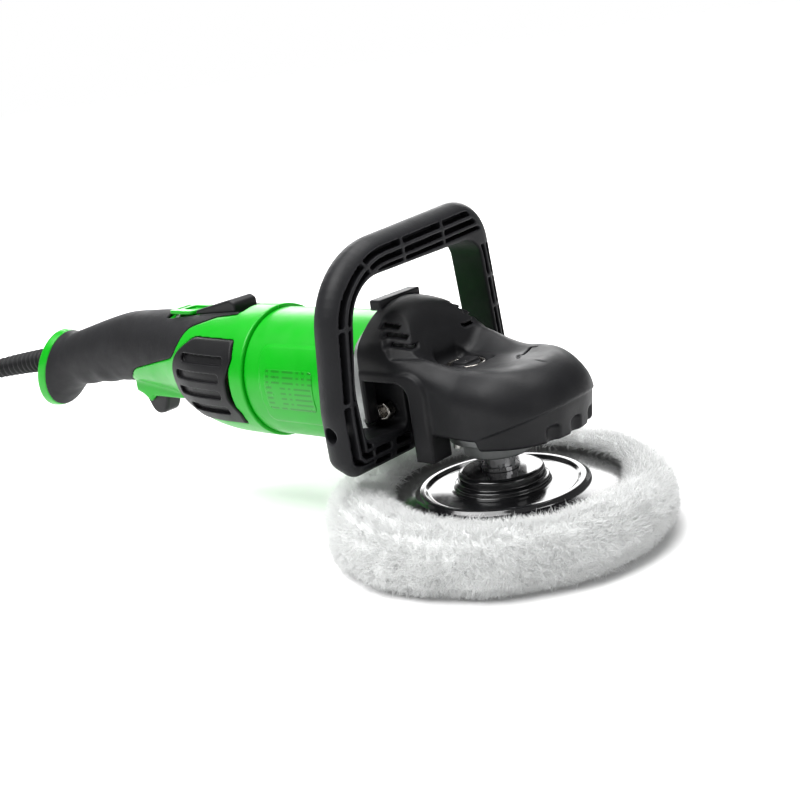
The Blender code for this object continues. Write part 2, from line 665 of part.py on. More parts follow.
def build_lock():
    """The spindle lock: a sprung pin under a thumb button."""
    black = material("button_plastic", BLACK, 0.4)
    steel = material("bright_steel", (0.7, 0.7, 0.7), 0.2, 1.0)
    head = [(0, 104.2), (8.0, 104.2), (8.6, 103.6), (8.6, 101.2), (2.3, 101.2), (2.3, 88.0), (0, 88.0)]
    turned("spindle_lock_button", head, (-LOCK_RADIUS, 0, 0), black)
    ring = [(11.0, 104.0), (11.0, 102.9), (9.2, 102.9), (9.2, 104.0)]
    turned("lock_ring", ring, (-LOCK_RADIUS, 0, 0), steel, ring=True)
    build_coil("lock_spring", (-LOCK_RADIUS, 0), 3.6, 0.45, 92.8, 100.4, 4.0, steel)


def build_coil(name, centre, radius, wire, low, high, turns, finish):
    """A compression spring as a bevelled poly line."""
    curve = bpy.data.curves.new(name, "CURVE")
    curve.dimensions = "3D"
    curve.bevel_depth = wire * MM
    curve.bevel_resolution = 1
    curve.use_fill_caps = True
    spline = curve.splines.new("POLY")
    steps = int(10 * turns)
    spline.points.add(steps)
    for index, point in enumerate(spline.points):
        angle = 2 * math.pi * turns * index / steps
        height = low + (high - low) * index / steps
        point.co = (*mm(radius * math.cos(angle), radius * math.sin(angle), height), 1)
    spring = bpy.data.objects.new(name, curve)
    spring.location = mm(centre[0], centre[1], 0)
    curve.materials.append(finish)
    parts.objects.link(spring)


# ---------------------------------------------------------------- housings

def build_motor_housing():
    green = material("green_shell", GREEN, 0.3)
    outer, inner = HOUSING_RADIUS, 38.0
    long_half = (FLANGE_REAR_X - GAP - SEAM_X) / 2
    middle = (FLANGE_REAR_X - GAP + SEAM_X) / 2
    profile = [(outer, long_half), (outer, -long_half), (inner, -long_half), (inner, long_half)]
    housing = turned("motor_housing", profile, (middle, 0, MOTOR_Z), green, "X", segments=40, ring=True)
    zinc = material("zinc_screw", (0.6, 0.6, 0.58), 0.35, 1.0)
    for index, (y, z) in enumerate(CASE_SCREW_PLACES):
        boss = plate(f"boss_{index}", boss_outline(y, z), "X", -98.0, FLANGE_REAR_X - 2 * GAP)
        join(housing, boss)
    for index, (y, z) in enumerate(CASE_SCREW_PLACES):
        carve(housing, rod(f"boss_hole_{index}", (-94.0, y, z), (-60.0, y, z), 2.2, segments=12))
        profile = [(0, 3.2), (3.8, 3.2), (3.8, 0.3), (1.8, 0.3), (1.8, -29.0), (0, -29.0)]
        turned(f"case_screw_{index + 1}", profile, (-64.2, y, z), zinc, "X", segments=12)
    label = material("label", (0.0, 0.5, 0.03), 0.35)
    rings = []
    for x in (-142.0, -102.0):
        arc = []
        for radius, order in ((outer + 0.3, 1), (outer + 0.7, -1)):
            steps = list(range(9))[::order]
            for step in steps:
                angle = math.radians(162 + 36 * step / 8)
                arc.append((x, radius * math.cos(angle), MOTOR_Z + radius * math.sin(angle)))
        rings.append(arc)
    loft("rating_plate", rings, label)


def boss_outline(y, z):
    """A round screw boss grown out of the tube's inner wall."""
    return [(y + 4.4 * math.cos(a), z + 4.4 * math.sin(a))
            for a in (2 * math.pi * (i + 0.3) / 12 for i in range(12))]


# Rubber edge seen from the side, from the slide switch down and back to the finger guard
RUBBER_EDGE = ((-430.0, 30.0), (-314.0, 30.0), (-314.0, 78.0), (-306.0, 86.0), (-298.0, 90.7),
               (-278.0, 95.0), (-240.0, 104.5), (-235.0, 111.0), (-229.5, 118.0), (-222.0, 124.0),
               (-213.0, 127.6), (-197.0, 128.8), (-186.0, 131.0), (-186.0, 160.0), (-430.0, 160.0))
VENT_OUTLINE = ((-226.0, 78.0, 14), (-209.0, 66.0, 14), (-165.5, 66.0, 2), (-164.0, 74.0, 2),
                (-169.5, 84.0, 6), (-169.0, 97.0, 6), (-163.8, 110.0, 3), (-166.5, 120.0, 2),
                (-205.0, 120.0, 16), (-231.0, 106.0, 16))


def grown(outline, amount):
    """Push an outline's points out from its middle line by about amount."""
    middle_x = sum(p[0] for p in outline) / len(outline)
    middle_z = sum(p[1] for p in outline) / len(outline)
    result = []
    for point in outline:
        away = Vector((point[0] - middle_x, point[1] - middle_z)).normalized() * amount
        result.append((point[0] + away.x, point[1] + away.y) + tuple(point[2:]))
    return result


def build_handle_shells():
    green = material("green_shell", GREEN, 0.3)
    groove_stations = STATIONS[:-1] + ((-410.2, 78.4, 20, 30.6, 21.4, 14.0),)
    grip_edge = [(x + 0.3, z - 0.4) for x, z in RUBBER_EDGE]
    groove = sleeve("rubber_groove", 6.0, -RUBBER - GAP, groove_stations)
    boolean(groove, plate("rubber_zone", grip_edge, "Y", -80.0, 80.0), "INTERSECT")
    track = box("slide_track", (-262.6, -11.6, 130.6), (-186.0, 11.6, 150.0))
    slot = box("slide_slot", (-226.0, -3.6, 110.0), (-201.0, 3.6, 150.0))
    trigger_room = box("trigger_room", (-317.5, -7.4, 50.0), (-278.0, 7.4, 90.0))
    pin_bore = rod("trigger_pin_bore", (TRIGGER_PIVOT[0], -PIN_HALF - GAP, TRIGGER_PIVOT[2]),
                   (TRIGGER_PIVOT[0], PIN_HALF + GAP, TRIGGER_PIVOT[2]), 1.8, segments=16)
    for side, word in ((1, "left"), (-1, "right")):
        shell = half_shell(f"handle_shell_{word}", side, green)
        carve(shell, groove, track, slot, trigger_room, pin_bore)
        low, high = sorted((side * 12.0, side * 60.0))
        pocket = sleeve(f"vent_pocket_{word}", 6.0, -1.9, STATIONS[:6])
        pocket_zone = plate(f"vent_zone_{word}", rounded(grown(VENT_OUTLINE, 0.4)), "Y", low, high)
        boolean(pocket, pocket_zone, "INTERSECT")
        low, high = sorted((side * 26.0, side * 60.0))
        window = box(f"vent_window_{word}", (-214.0, low, 76.0), (-176.0, high, 112.0))
        carve(shell, pocket, window)
        build_vent_cover(side, word)


def build_vent_cover(side, word):
    """A louvred grille that follows the housing's side."""
    black = material("vent_plastic", BLACK, 0.45)
    skin = sleeve(f"vent_cover_{word}", 1.0, -1.5, STATIONS[:6], black)
    low, high = sorted((side * 12.0, side * 60.0))
    boolean(skin, plate(f"vent_edge_{word}", rounded(VENT_OUTLINE), "Y", low, high), "INTERSECT")
    low, high = sorted((side * 20.0, side * 60.0))
    for index, (rear, front) in enumerate(((-206.0, -173.0), (-216.0, -174.0), (-216.0, -173.0),
                                           (-208.0, -171.0))):
        bottom = 73.5 + 11.2 * index
        carve(skin, box(f"louvre_{word}_{index}", (rear, low, bottom), (front, high, bottom + 5.2)))


def build_grip():
    rubber = material("grip_rubber", (0.03, 0.03, 0.033), 0.65)
    grip = sleeve("grip_overmould", 0.2, -RUBBER, STATIONS, rubber)
    boolean(grip, plate("grip_zone", RUBBER_EDGE, "Y", -80.0, 80.0), "INTERSECT")
    carve(grip, box("grip_trigger_room", (-317.5, -7.4, 50.0), (-278.0, 7.4, 90.0)))
    carve(grip, box("grip_track", (-262.8, -12.2, 120.0), (-180.0, 12.2, 150.0)))


def build_slide_switch():
    """The slide switch, its bezel and the rod that reaches the switch body."""
    black = material("button_plastic", BLACK, 0.4)
    green = material("green_shell", GREEN, 0.3)
    wedge = rounded([(-234.0, 131.0, 0), (-193.0, 131.0, 0), (-193.0, 141.0, 2.5), (-199.0, 141.6, 3),
                     (-234.0, 132.8, 1.0)])
    slide = plate("slide_switch", wedge, "Y", -10.5, 10.5, black)
    join(slide, box("slide_stem", (-224.0, -2.8, 117.0), (-210.0, 2.8, 131.5)))
    join(slide, box("slide_rod", (-278.0, -2.4, 117.0), (-211.0, 2.4, 120.0)))
    rails = rounded([(-261.0, -11.0, 5), (-235.5, -11.0, 0), (-235.5, -7.0, 0), (-250.0, -4.5, 3),
                     (-250.0, 4.5, 3), (-235.5, 7.0, 0), (-235.5, 11.0, 0), (-261.0, 11.0, 5)])
    plate("slide_bezel", rails, "Z", 130.9, 132.4, green)


def build_trigger():
    black = material("button_plastic", BLACK, 0.4)
    steel = material("machined_steel", (0.42, 0.42, 0.43), 0.3, 1.0)
    x, _, z = TRIGGER_PIVOT
    outline = rounded([(x + 4.0, z + 5.0, 3), (x + 4.2, z - 4.0, 2), (x - 8.0, 53.5, 6), (x - 18.5, 51.0, 6),
                       (x - 31.0, 76.0, 1), (x - 31.0, 82.0, 2), (x - 10.0, 82.0, 2)])
    trigger = plate("trigger", outline, "Y", -6.8, 6.8, black)
    pivot_at(trigger, TRIGGER_PIVOT)
    carve(trigger, rod("trigger_bore", (x, -12, z), (x, 12, z), 1.8, segments=16))
    rod("trigger_pin", (x, -PIN_HALF, z), (x, PIN_HALF, z), 1.5, steel, segments=16)


def build_electrics():
    nylon = material("black_nylon", BLACK, 0.5)
    board = material("circuit_board", (0.02, 0.2, 0.06), 0.4)
    box("switch_body", (-318.0, -8.0, 91.0), (-285.0, 8.0, 110.0), nylon)
    box("speed_control_board", (-278.0, -13.0, 88.0), (-246.0, 13.0, 98.0), board)


def build_cord():
    """Strain relief and a stub of cord, hung from the end flange."""
    rubber = material("cord_rubber", (0.018, 0.018, 0.02), 0.6)
    points = []
    for index in range(13):
        share = index / 12
        x = -402.0 - 104.0 * share
        points.append((x, -26.0 * share ** 2.2, 79.5 + 3.0 * math.sin(math.pi * share) - 6.0 * share))
    tube("cord_strain_relief", points, 6.2, rubber)


def tube(name, points, radius, finish):
    curve = bpy.data.curves.new(name, "CURVE")
    curve.dimensions = "3D"
    curve.bevel_depth = radius * MM
    curve.bevel_resolution = 3
    curve.use_fill_caps = True
    spline = curve.splines.new("POLY")
    spline.points.add(len(points) - 1)
    for point, place in zip(spline.points, points):
        point.co = (*mm(*place), 1)
    item = bpy.data.objects.new(name, curve)
    curve.materials.append(finish)
    parts.objects.link(item)
    return item


# ---------------------------------------------------------------- loop handle

LOOP_OUTLINE = ((-27.0, 53.5, 1), (-70.0, 53.5, 5), (-79.5, 62.0, 8), (-80.5, 92.0, 40),
                (-70.5, 180.5, 52), (72.0, 188.5, 27), (80.5, 92.0, 40), (79.5, 62.0, 8),
                (70.0, 53.5, 5), (27.0, 53.5, 1), (27.0, 98.0, 1.5), (31.5, 98.0, 1.5),
                (31.5, 71.0, 5), (62.5, 71.0, 5), (59.5, 164.5, 14), (-58.5, 163.0, 27),
                (-61.5, 71.0, 5), (-31.5, 71.0, 5), (-31.5, 98.0, 1.5), (-27.0, 98.0, 1.5))


def build_loop_handle():
    plastic = material("handle_plastic", BLACK, 0.5)
    rear = HANDLE_FRONT_X - HANDLE_DEPTH
    loop = plate("loop_handle", rounded(LOOP_OUTLINE, 5), "X", rear, HANDLE_FRONT_X, plastic)
    steel = material("bright_steel", (0.7, 0.7, 0.7), 0.2, 1.0)
    carve(loop, rod("flange_clearance", (-75.0, 0, MOTOR_Z), (-63.6, 0, MOTOR_Z), FLANGE_RADIUS + 1.0,
                    segments=40))
    bolt_x = HANDLE_FRONT_X - HANDLE_DEPTH / 2
    for side, word in ((1, "left"), (-1, "right")):
        carve(loop, rod(f"foot_hole_{word}", (bolt_x, side * 20.0, HANDLE_BOLT_Z),
                        (bolt_x, side * 40.0, HANDLE_BOLT_Z), 4.4, segments=20))
        carve(loop, rod(f"key_hole_{word}", (bolt_x, side * 50.0, HANDLE_BOLT_Z),
                        (bolt_x, side * 95.0, HANDLE_BOLT_Z), 4.5, segments=20))
        profile = [(0, 37.0), (5.2, 37.0), (5.2, 31.9), (3.9, 31.9), (3.9, 17.0), (0, 17.0)]
        bolt = turned(f"handle_bolt_{word}", profile, (bolt_x, 0, HANDLE_BOLT_Z), steel,
                      "Y" if side > 0 else "-Y", segments=20)
        socket = rod(f"bolt_socket_{word}", (bolt_x, side * 34.0, HANDLE_BOLT_Z),
                     (bolt_x, side * 40.0, HANDLE_BOLT_Z), 2.9, segments=6)
        carve(bolt, socket)


# ---------------------------------------------------------------- backing plate and pad

def build_backing():
    gloss = material("plate_gloss", (0.015, 0.015, 0.018), 0.12)
    wool = material("wool", (0.9, 0.9, 0.88), 0.95)
    plate_profile = [(23.0, 41.0), (25.0, 40.0), (25.4, 35.6), (27.8, 34.2), (27.8, 31.6), (44.0, 30.6),
                     (46.0, 32.0), (48.6, 32.0), (50.4, 30.2), (PLATE_RADIUS, 24.5), (PLATE_RADIUS, 22.5),
                     (49.0, 26.5), (7.3, 26.5), (7.3, 41.0)]
    turned("backing_plate", plate_profile, (0, 0, 0), gloss, segments=40, ring=True)
    pad_profile = [(0, 22.2)]
    pad_profile += [(48.0, 26.0), (PLATE_RADIUS + 0.6, 22.0), (PLATE_RADIUS + 0.8, 25.2), (74.0, 27.6),
                    (72.0, 30.5), (78.0, 36.0), (88.0, 37.0), (96.5, 31.0), (PAD_RADIUS, 20.0), (97.0, 8.0),
                    (90.0, 1.5), (80.0, 0.0), (0, 0.0)]
    turned("wool_pad", pad_profile, (0, 0, 0), wool, segments=36)


def build_all():
    clear_scene()
    build_spindle()
    build_bevel_gear()
    build_intermediate_shaft()
    build_armature()
    build_motor_fixed()
    build_gear_case()
    build_gear_cover()
    build_bearing_cap()
    build_lock()
    build_motor_housing()
    build_handle_shells()
    build_grip()
    build_slide_switch()
    build_trigger()
    build_electrics()
    build_cord()
    build_loop_handle()
    build_backing()
    bpy.context.view_layer.update()


build_all()
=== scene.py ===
"""Looks for a corded rotary polisher: moulded skins, wool pile and procedural materials."""
import json
import math

import bpy
import numpy as np
from numpy import clip, hypot, interp, maximum, minimum, sqrt, stack, where
from mathutils import Matrix, Vector


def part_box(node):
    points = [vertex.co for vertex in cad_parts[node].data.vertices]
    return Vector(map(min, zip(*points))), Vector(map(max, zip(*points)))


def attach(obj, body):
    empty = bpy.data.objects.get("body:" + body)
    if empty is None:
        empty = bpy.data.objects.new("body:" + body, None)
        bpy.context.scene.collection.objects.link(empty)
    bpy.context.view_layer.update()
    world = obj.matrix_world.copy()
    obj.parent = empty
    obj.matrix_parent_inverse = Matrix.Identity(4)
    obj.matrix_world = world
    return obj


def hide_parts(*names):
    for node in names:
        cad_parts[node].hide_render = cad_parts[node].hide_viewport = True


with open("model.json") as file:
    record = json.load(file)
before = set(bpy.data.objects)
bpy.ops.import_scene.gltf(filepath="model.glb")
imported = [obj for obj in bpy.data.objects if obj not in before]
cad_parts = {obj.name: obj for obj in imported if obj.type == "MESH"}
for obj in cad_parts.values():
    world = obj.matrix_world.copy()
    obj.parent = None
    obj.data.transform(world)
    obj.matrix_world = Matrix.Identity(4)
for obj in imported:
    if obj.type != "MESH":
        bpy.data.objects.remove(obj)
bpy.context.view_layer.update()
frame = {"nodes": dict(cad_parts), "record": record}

MM = 0.001


def box_mm(node):
    low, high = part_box(node)
    return np.array(low) / MM, np.array(high) / MM


def middle_mm(node):
    low, high = box_mm(node)
    return [float(value) for value in (low + high) / 2]


# Reference places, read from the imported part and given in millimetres
BARREL_LOW, BARREL_HIGH = box_mm("motor_housing")
SEAM_X, BARREL_FRONT_X = float(BARREL_LOW[0]), float(BARREL_HIGH[0])
BARREL_RADIUS = float(BARREL_HIGH[2] - BARREL_LOW[2]) / 2
MOTOR_Z = middle_mm("motor_housing")[2]
LOOP_REAR_X, LOOP_FRONT_X = (float(corner[0]) for corner in box_mm("loop_handle"))
LOOP_MIDDLE_X = (LOOP_REAR_X + LOOP_FRONT_X) / 2
BOLT_Z = middle_mm("handle_bolt_left")[2]
BUTTON_X = middle_mm("spindle_lock_button")[0]
PIVOT_X, _, PIVOT_Z = middle_mm("trigger_pin")
# Clearance between neighbouring pieces
GAP = 0.3


# ---------- distance fields

def smax(a, b, radius):
    """The larger of two distances, with the edge between them rounded."""
    a = a + radius
    b = b + radius
    return hypot(maximum(a, 0), maximum(b, 0)) + minimum(maximum(a, b), 0) - radius


def smin(a, b, radius):
    """The smaller of two distances, with the inner corner between them filled."""
    return -smax(-a, -b, radius)


def smooth_step(value, low, high):
    share = clip((value - low) / (high - low), 0, 1)
    return share * share * (3 - 2 * share)


def slab(value, low, high):
    return abs(value - (low + high) / 2) - (high - low) / 2


def block(x, y, z, low, high, radius=0.0):
    sides = [slab(v, a, b) for v, a, b in zip((x, y, z), low, high)]
    return smax(smax(sides[0], sides[1], radius), sides[2], radius)


def carve(shape, *rooms):
    """The shape with sharp-edged rooms taken out."""
    for room in rooms:
        shape = maximum(shape, -room)
    return shape


def disc(u, v, along, centre, radius, low, high, edge=0.0):
    """A cylinder: u and v across it, along its axis."""
    return smax(hypot(u - centre[0], v - centre[1]) - radius, slab(along, low, high), edge)


def from_line(u, v, first, last):
    """Distance from the straight line between two places."""
    du, dv = last[0] - first[0], last[1] - first[1]
    share = clip(((u - first[0]) * du + (v - first[1]) * dv) / (du * du + dv * dv), 0, 1)
    return hypot(u - first[0] - share * du, v - first[1] - share * dv)


def polygon(u, v, outline):
    """Signed distance to a closed outline, negative inside."""
    shape = np.broadcast(u, v).shape
    near = np.full(shape, np.inf)
    inside = np.zeros(shape, bool)
    for (u0, v0), (u1, v1) in zip(outline, outline[1:] + outline[:1]):
        near = minimum(near, from_line(u, v, (u0, v0), (u1, v1)))
        if v0 != v1:
            crosses = (v0 > v) != (v1 > v)
            inside ^= crosses & (u < u0 + (v - v0) * (u1 - u0) / (v1 - v0))
    return where(inside, -near, near)


def rounded(corners, arc_steps=8):
    """An outline from (u, v, radius) corners, each rounded to its radius."""
    outline = []
    count = len(corners)
    for index, (u, v, radius) in enumerate(corners):
        here = Vector((u, v))
        if radius <= 0:
            outline.append(tuple(here))
            continue
        to_last = (Vector(corners[index - 1][:2]) - here).normalized()
        to_next = (Vector(corners[(index + 1) % count][:2]) - here).normalized()
        half = to_last.angle(to_next) / 2
        centre = here + (to_last + to_next).normalized() * (radius / math.sin(half))
        first = here + to_last * (radius / math.tan(half)) - centre
        last = here + to_next * (radius / math.tan(half)) - centre
        turn = first.angle_signed(last)
        for step in range(arc_steps + 1):
            swing = Matrix.Rotation(-turn * step / arc_steps, 2)
            outline.append(tuple(centre + swing @ first))
    return outline


# ---------- meshes from distance fields

CORNERS = [(i, j, k) for i in (0, 1) for j in (0, 1) for k in (0, 1)]


def crossing_points(field, places):
    """The mean of the surface crossings on each cell's edges, in cells."""
    values = {corner: field[tuple((places + corner).T)] for corner in CORNERS}
    total = np.zeros((len(places), 3))
    hits = np.zeros((len(places), 1))
    for start in CORNERS:
        for axis in range(3):
            if start[axis]:
                continue
            end = tuple(1 if other == axis else s for other, s in enumerate(start))
            a, b = values[start], values[end]
            cross = (a < 0) != (b < 0)
            share = where(cross, a / where(cross, a - b, 1), 0)
            point = np.array(start, float) + np.eye(3)[axis] * share[:, None]
            total += point * cross[:, None]
            hits += cross[:, None]
    return places + total / hits


def cell_quads(solid, number):
    """One quad for each grid edge that the surface crosses, facing out."""
    quads = []
    for axis in range(3):
        b, c = (axis + 1) % 3, (axis + 2) % 3
        first = [slice(1, -1)] * 3
        second = [slice(1, -1)] * 3
        first[axis] = slice(0, -1)
        second[axis] = slice(1, None)
        low_side, high_side = solid[tuple(first)], solid[tuple(second)]
        change = low_side != high_side
        base = np.argwhere(change)
        base[:, b] += 1
        base[:, c] += 1
        corners = []
        for back_b, back_c in ((1, 1), (0, 1), (0, 0), (1, 0)):
            at = base.copy()
            at[:, b] -= back_b
            at[:, c] -= back_c
            corners.append(number[tuple(at.T)])
        quad = stack(corners, 1)
        inward = ~low_side[change]
        quad[inward] = quad[inward, ::-1]
        quads.append(quad)
    return np.concatenate(quads)


def settle(points, distance, cell):
    """Move points onto the surface."""
    small = 0.02
    for _ in range(3):
        value = distance(*points.T)
        slope = stack([(distance(*(points + small * np.eye(3)[axis]).T) - value) / small
                          for axis in range(3)], 1)
        step = value[:, None] * slope / maximum((slope ** 2).sum(1, keepdims=True), 0.25)
        points = points - clip(step, -0.4 * cell, 0.4 * cell)
    return points


def skin(name, distance, low, high, cell, mirror=False):
    """A closed mesh on the zero surface of a distance field inside a box; mirror flips it across Y."""
    axes = [np.arange(a, b + cell, cell) for a, b in zip(low, high)]
    x, y, z = axes[0][:, None, None], axes[1][None, :, None], axes[2][None, None, :]
    field = np.broadcast_to(distance(x, y, z), tuple(len(a) for a in axes))
    solid = field < 0
    count = sum(solid[tuple(slice(c, n - 1 + c) for c, n in zip(corner, solid.shape))].astype(np.int8)
                for corner in CORNERS)
    active = (count > 0) & (count < 8)
    number = np.full(active.shape, -1, np.int64)
    number[active] = np.arange(active.sum())
    points = crossing_points(field, np.argwhere(active)) * cell + np.array(low, float)
    points = settle(points, distance, cell)
    quads = cell_quads(solid, number)
    if mirror:
        points = points * (1, -1, 1)
        quads = quads[:, ::-1]
    return mesh_object(name, points, quads)


def add_object(name, data):
    item = bpy.data.objects.new(name, data)
    bpy.context.scene.collection.objects.link(item)
    return item


def mesh_object(name, points, faces):
    mesh = bpy.data.meshes.new(name)
    mesh.from_pydata((np.asarray(points) * MM).tolist(), [], [list(map(int, f)) for f in faces])
    mesh.shade_smooth()
    return add_object(name, mesh)


def grid_faces(lines, places, lines_close=True, places_close=True):
    """Quads over a grid of points stored line by line, which can close on itself in each direction."""
    faces = []
    for line in range(lines if lines_close else lines - 1):
        after = (line + 1) % lines
        for place in range(places if places_close else places - 1):
            beside = (place + 1) % places
            faces.append((line * places + place, after * places + place,
                          after * places + beside, line * places + beside))
    return faces


def revolve(name, outline, centre=(0.0, 0.0), segments=128):
    """A closed (radius, height) outline turned about an upright axis; outlines run anticlockwise."""
    points = []
    for step in range(segments):
        angle = 2 * math.pi * step / segments
        across, along = math.cos(angle), math.sin(angle)
        for radius, height in outline:
            points.append((centre[0] + radius * across, centre[1] + radius * along, height))
    item = mesh_object(name, points, grid_faces(segments, len(outline)))
    item.data.set_sharp_from_angle(angle=math.radians(40))
    return item


def place(item, node, slot, body="housing"):
    """Give a piece its material, tie it to its body, and hide the CAD node it stands in for."""
    item.data.materials.append(MATERIALS[slot])
    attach(item, body)
    if node:
        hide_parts(node)


# ---------- materials

class Nodes:
    """A material with helpers that add, set and link its shader nodes."""

    def __init__(self):
        self.material = bpy.data.materials.new("finish")
        self.material.use_nodes = True
        self.shader = self.material.node_tree.nodes["Principled BSDF"]
        self.coordinates = self.add("ShaderNodeTexCoord").outputs["Object"]

    def feed(self, node, inputs):
        """Link each named input to an output, or give it a value."""
        for name, value in inputs.items():
            socket = node.inputs[name]
            if isinstance(value, bpy.types.NodeSocket):
                self.material.node_tree.links.new(value, socket)
            elif socket.type == "RGBA":
                socket.default_value = (*value, 1.0)
            else:
                socket.default_value = value

    def add(self, kind, inputs=None, **settings):
        node = self.material.node_tree.nodes.new(kind)
        for key, value in settings.items():
            setattr(node, key, value)
        self.feed(node, inputs or {})
        return node

    def shade(self, inputs):
        self.feed(self.shader, inputs)

    def texture(self, kind, inputs, **settings):
        return self.add("ShaderNodeTex" + kind, {"Vector": self.coordinates, **inputs}, **settings)

    def noise(self, scale, detail=3.0):
        return self.texture("Noise", {"Scale": scale, "Detail": detail, "Roughness": 0.55}).outputs["Fac"]

    def ramp(self, source, low, dark, high, light):
        """One colour below the low value, blending into another above the high value."""
        node = self.add("ShaderNodeValToRGB", {"Fac": source})
        first, last = node.color_ramp.elements
        first.position, first.color = low, (*dark, 1.0)
        last.position, last.color = high, (*light, 1.0)
        return node.outputs["Color"]

    def math(self, operation, a, b):
        return self.add("ShaderNodeMath", {0: a, 1: b}, operation=operation).outputs["Value"]

    def spread(self, source, low, high):
        """A noise's usual range, 0.3 to 0.7, stretched to run from low to high."""
        return self.add("ShaderNodeMapRange", {"Value": source, "From Min": 0.3, "From Max": 0.7,
                                               "To Min": low, "To Max": high}).outputs["Result"]

    def mix(self, share, a, b):
        return self.add("ShaderNodeMix", {"Factor": share, 6: a, 7: b}, data_type="RGBA").outputs[2]

    def bump(self, source, strength, distance, before=None):
        node = self.add("ShaderNodeBump", {"Strength": strength, "Distance": distance, "Height": source})
        if before is not None:
            self.feed(node, {"Normal": before})
        self.shade({"Normal": node.outputs["Normal"]})
        return node.outputs["Normal"]

    def worn_edges(self, colour, worn):
        """Lighter colour on convex edges."""
        pointed = self.add("ShaderNodeNewGeometry").outputs["Pointiness"]
        return self.mix(self.ramp(pointed, 0.515, (0, 0, 0), 0.56, (1, 1, 1)), colour, worn)


def scaled(colour, factor):
    return tuple(min(c * factor, 1.0) for c in colour)


def moulded(colour, roughness, grain=0.25, scale=1400.0, mottle=0.12, coat=0.0, worn=1.25, shine=0.24):
    """Moulded plastic or rubber: fine spark texture, slight mottling, polished edges."""
    n = Nodes()
    base = n.ramp(n.noise(38.0), 0.35, scaled(colour, 1 - mottle), 0.65, scaled(colour, 1 + mottle))
    n.shade({"Base Color": n.worn_edges(base, scaled(colour, worn)),
             "Roughness": n.spread(n.noise(90.0), roughness - 0.05, roughness + 0.06),
             "Specular IOR Level": shine, "Coat Weight": coat, "Coat Roughness": 0.12})
    coarse = n.bump(n.noise(scale * 0.35, 2.0), grain * 0.5, 0.0002)
    n.bump(n.texture("Voronoi", {"Scale": scale}).outputs["Distance"], grain, 0.00012, coarse)
    return n.material


def metal(colour, roughness, brushed=0.0, grain=0.1, scale=900.0):
    """Bare metal: roughness streaks or cast grain, with small tone changes."""
    n = Nodes()
    n.shade({"Base Color": n.ramp(n.noise(60.0), 0.3, scaled(colour, 0.85), 0.7, scaled(colour, 1.1)),
             "Roughness": n.spread(n.noise(400.0), roughness - 0.06, roughness + 0.1),
             "Metallic": 1.0, "Anisotropic": brushed})
    n.bump(n.noise(scale, 4.0), grain, 0.0002)
    return n.material


def banded(colour, direction, scale, distortion, tones, metallic, roughness, relief):
    """Fine bands: the edges of stacked sheets, or turns of varnished wire."""
    n = Nodes()
    texture = n.texture("Wave", {"Scale": scale, "Distortion": distortion}, bands_direction=direction)
    bands = texture.outputs["Fac"]
    (low, dark), (high, light) = tones
    n.shade({"Base Color": n.ramp(bands, low, scaled(colour, dark), high, scaled(colour, light)),
             "Metallic": metallic, "Roughness": roughness})
    n.bump(bands, *relief)
    return n.material


def circuit_board():
    """Copper tracks under green resist."""
    n = Nodes()
    tracks = n.texture("Brick", {"Scale": 300.0, "Color1": (0.01, 0.16, 0.05), "Color2": (0.015, 0.24, 0.08),
                                 "Mortar": (0.3, 0.45, 0.12)})
    n.shade({"Base Color": tracks.outputs["Color"], "Roughness": n.spread(n.noise(200.0), 0.28, 0.45)})
    return n.material


def data_label(colour):
    """A printed data plate with rows of plain dashes and no words."""
    n = Nodes()
    height = n.add("ShaderNodeSeparateXYZ", {"Vector": n.coordinates}).outputs["Z"]
    row_on = n.math("GREATER_THAN", n.math("FRACT", n.math("MULTIPLY", height, 300.0), 0.0), 0.62)
    stretch = n.add("ShaderNodeMapping", {"Vector": n.coordinates, "Scale": (420.0, 0.0, 75.0)})
    snapped = n.add("ShaderNodeVectorMath", {0: stretch.outputs["Vector"]}, operation="FLOOR")
    dashes = n.texture("WhiteNoise", {"Vector": snapped.outputs["Vector"]})
    ink = n.math("MULTIPLY", row_on, n.math("GREATER_THAN", dashes.outputs["Value"], 0.35))
    n.shade({"Base Color": n.mix(n.math("MULTIPLY", ink, 0.55), colour, scaled(colour, 0.3)),
             "Roughness": n.spread(n.noise(90.0), 0.25, 0.36)})
    return n.material


def wool_fibre(colour, tone_spread):
    """Soft white fibre: some light passes through, the tone varies at random, and a faint emission adds
    painted light that whitens it.
    """
    n = Nodes()
    tone = n.ramp(n.noise(55.0, 4.0), 0.3, scaled(colour, 1 - tone_spread), 0.7, colour)
    # The faint emission is painted light: a glow that makes the fibre look whiter than its lighting alone
    # would.
    n.shade({"Base Color": tone, "Roughness": n.spread(n.noise(300.0), 0.85, 1.0), "Sheen Weight": 0.3,
             "Subsurface Weight": 0.35, "Subsurface Radius": (1.0, 1.0, 1.0), "Subsurface Scale": 0.004,
             "Emission Color": tone, "Emission Strength": 0.04})
    n.bump(n.noise(900.0, 5.0), 0.5, 0.0006)
    return n.material


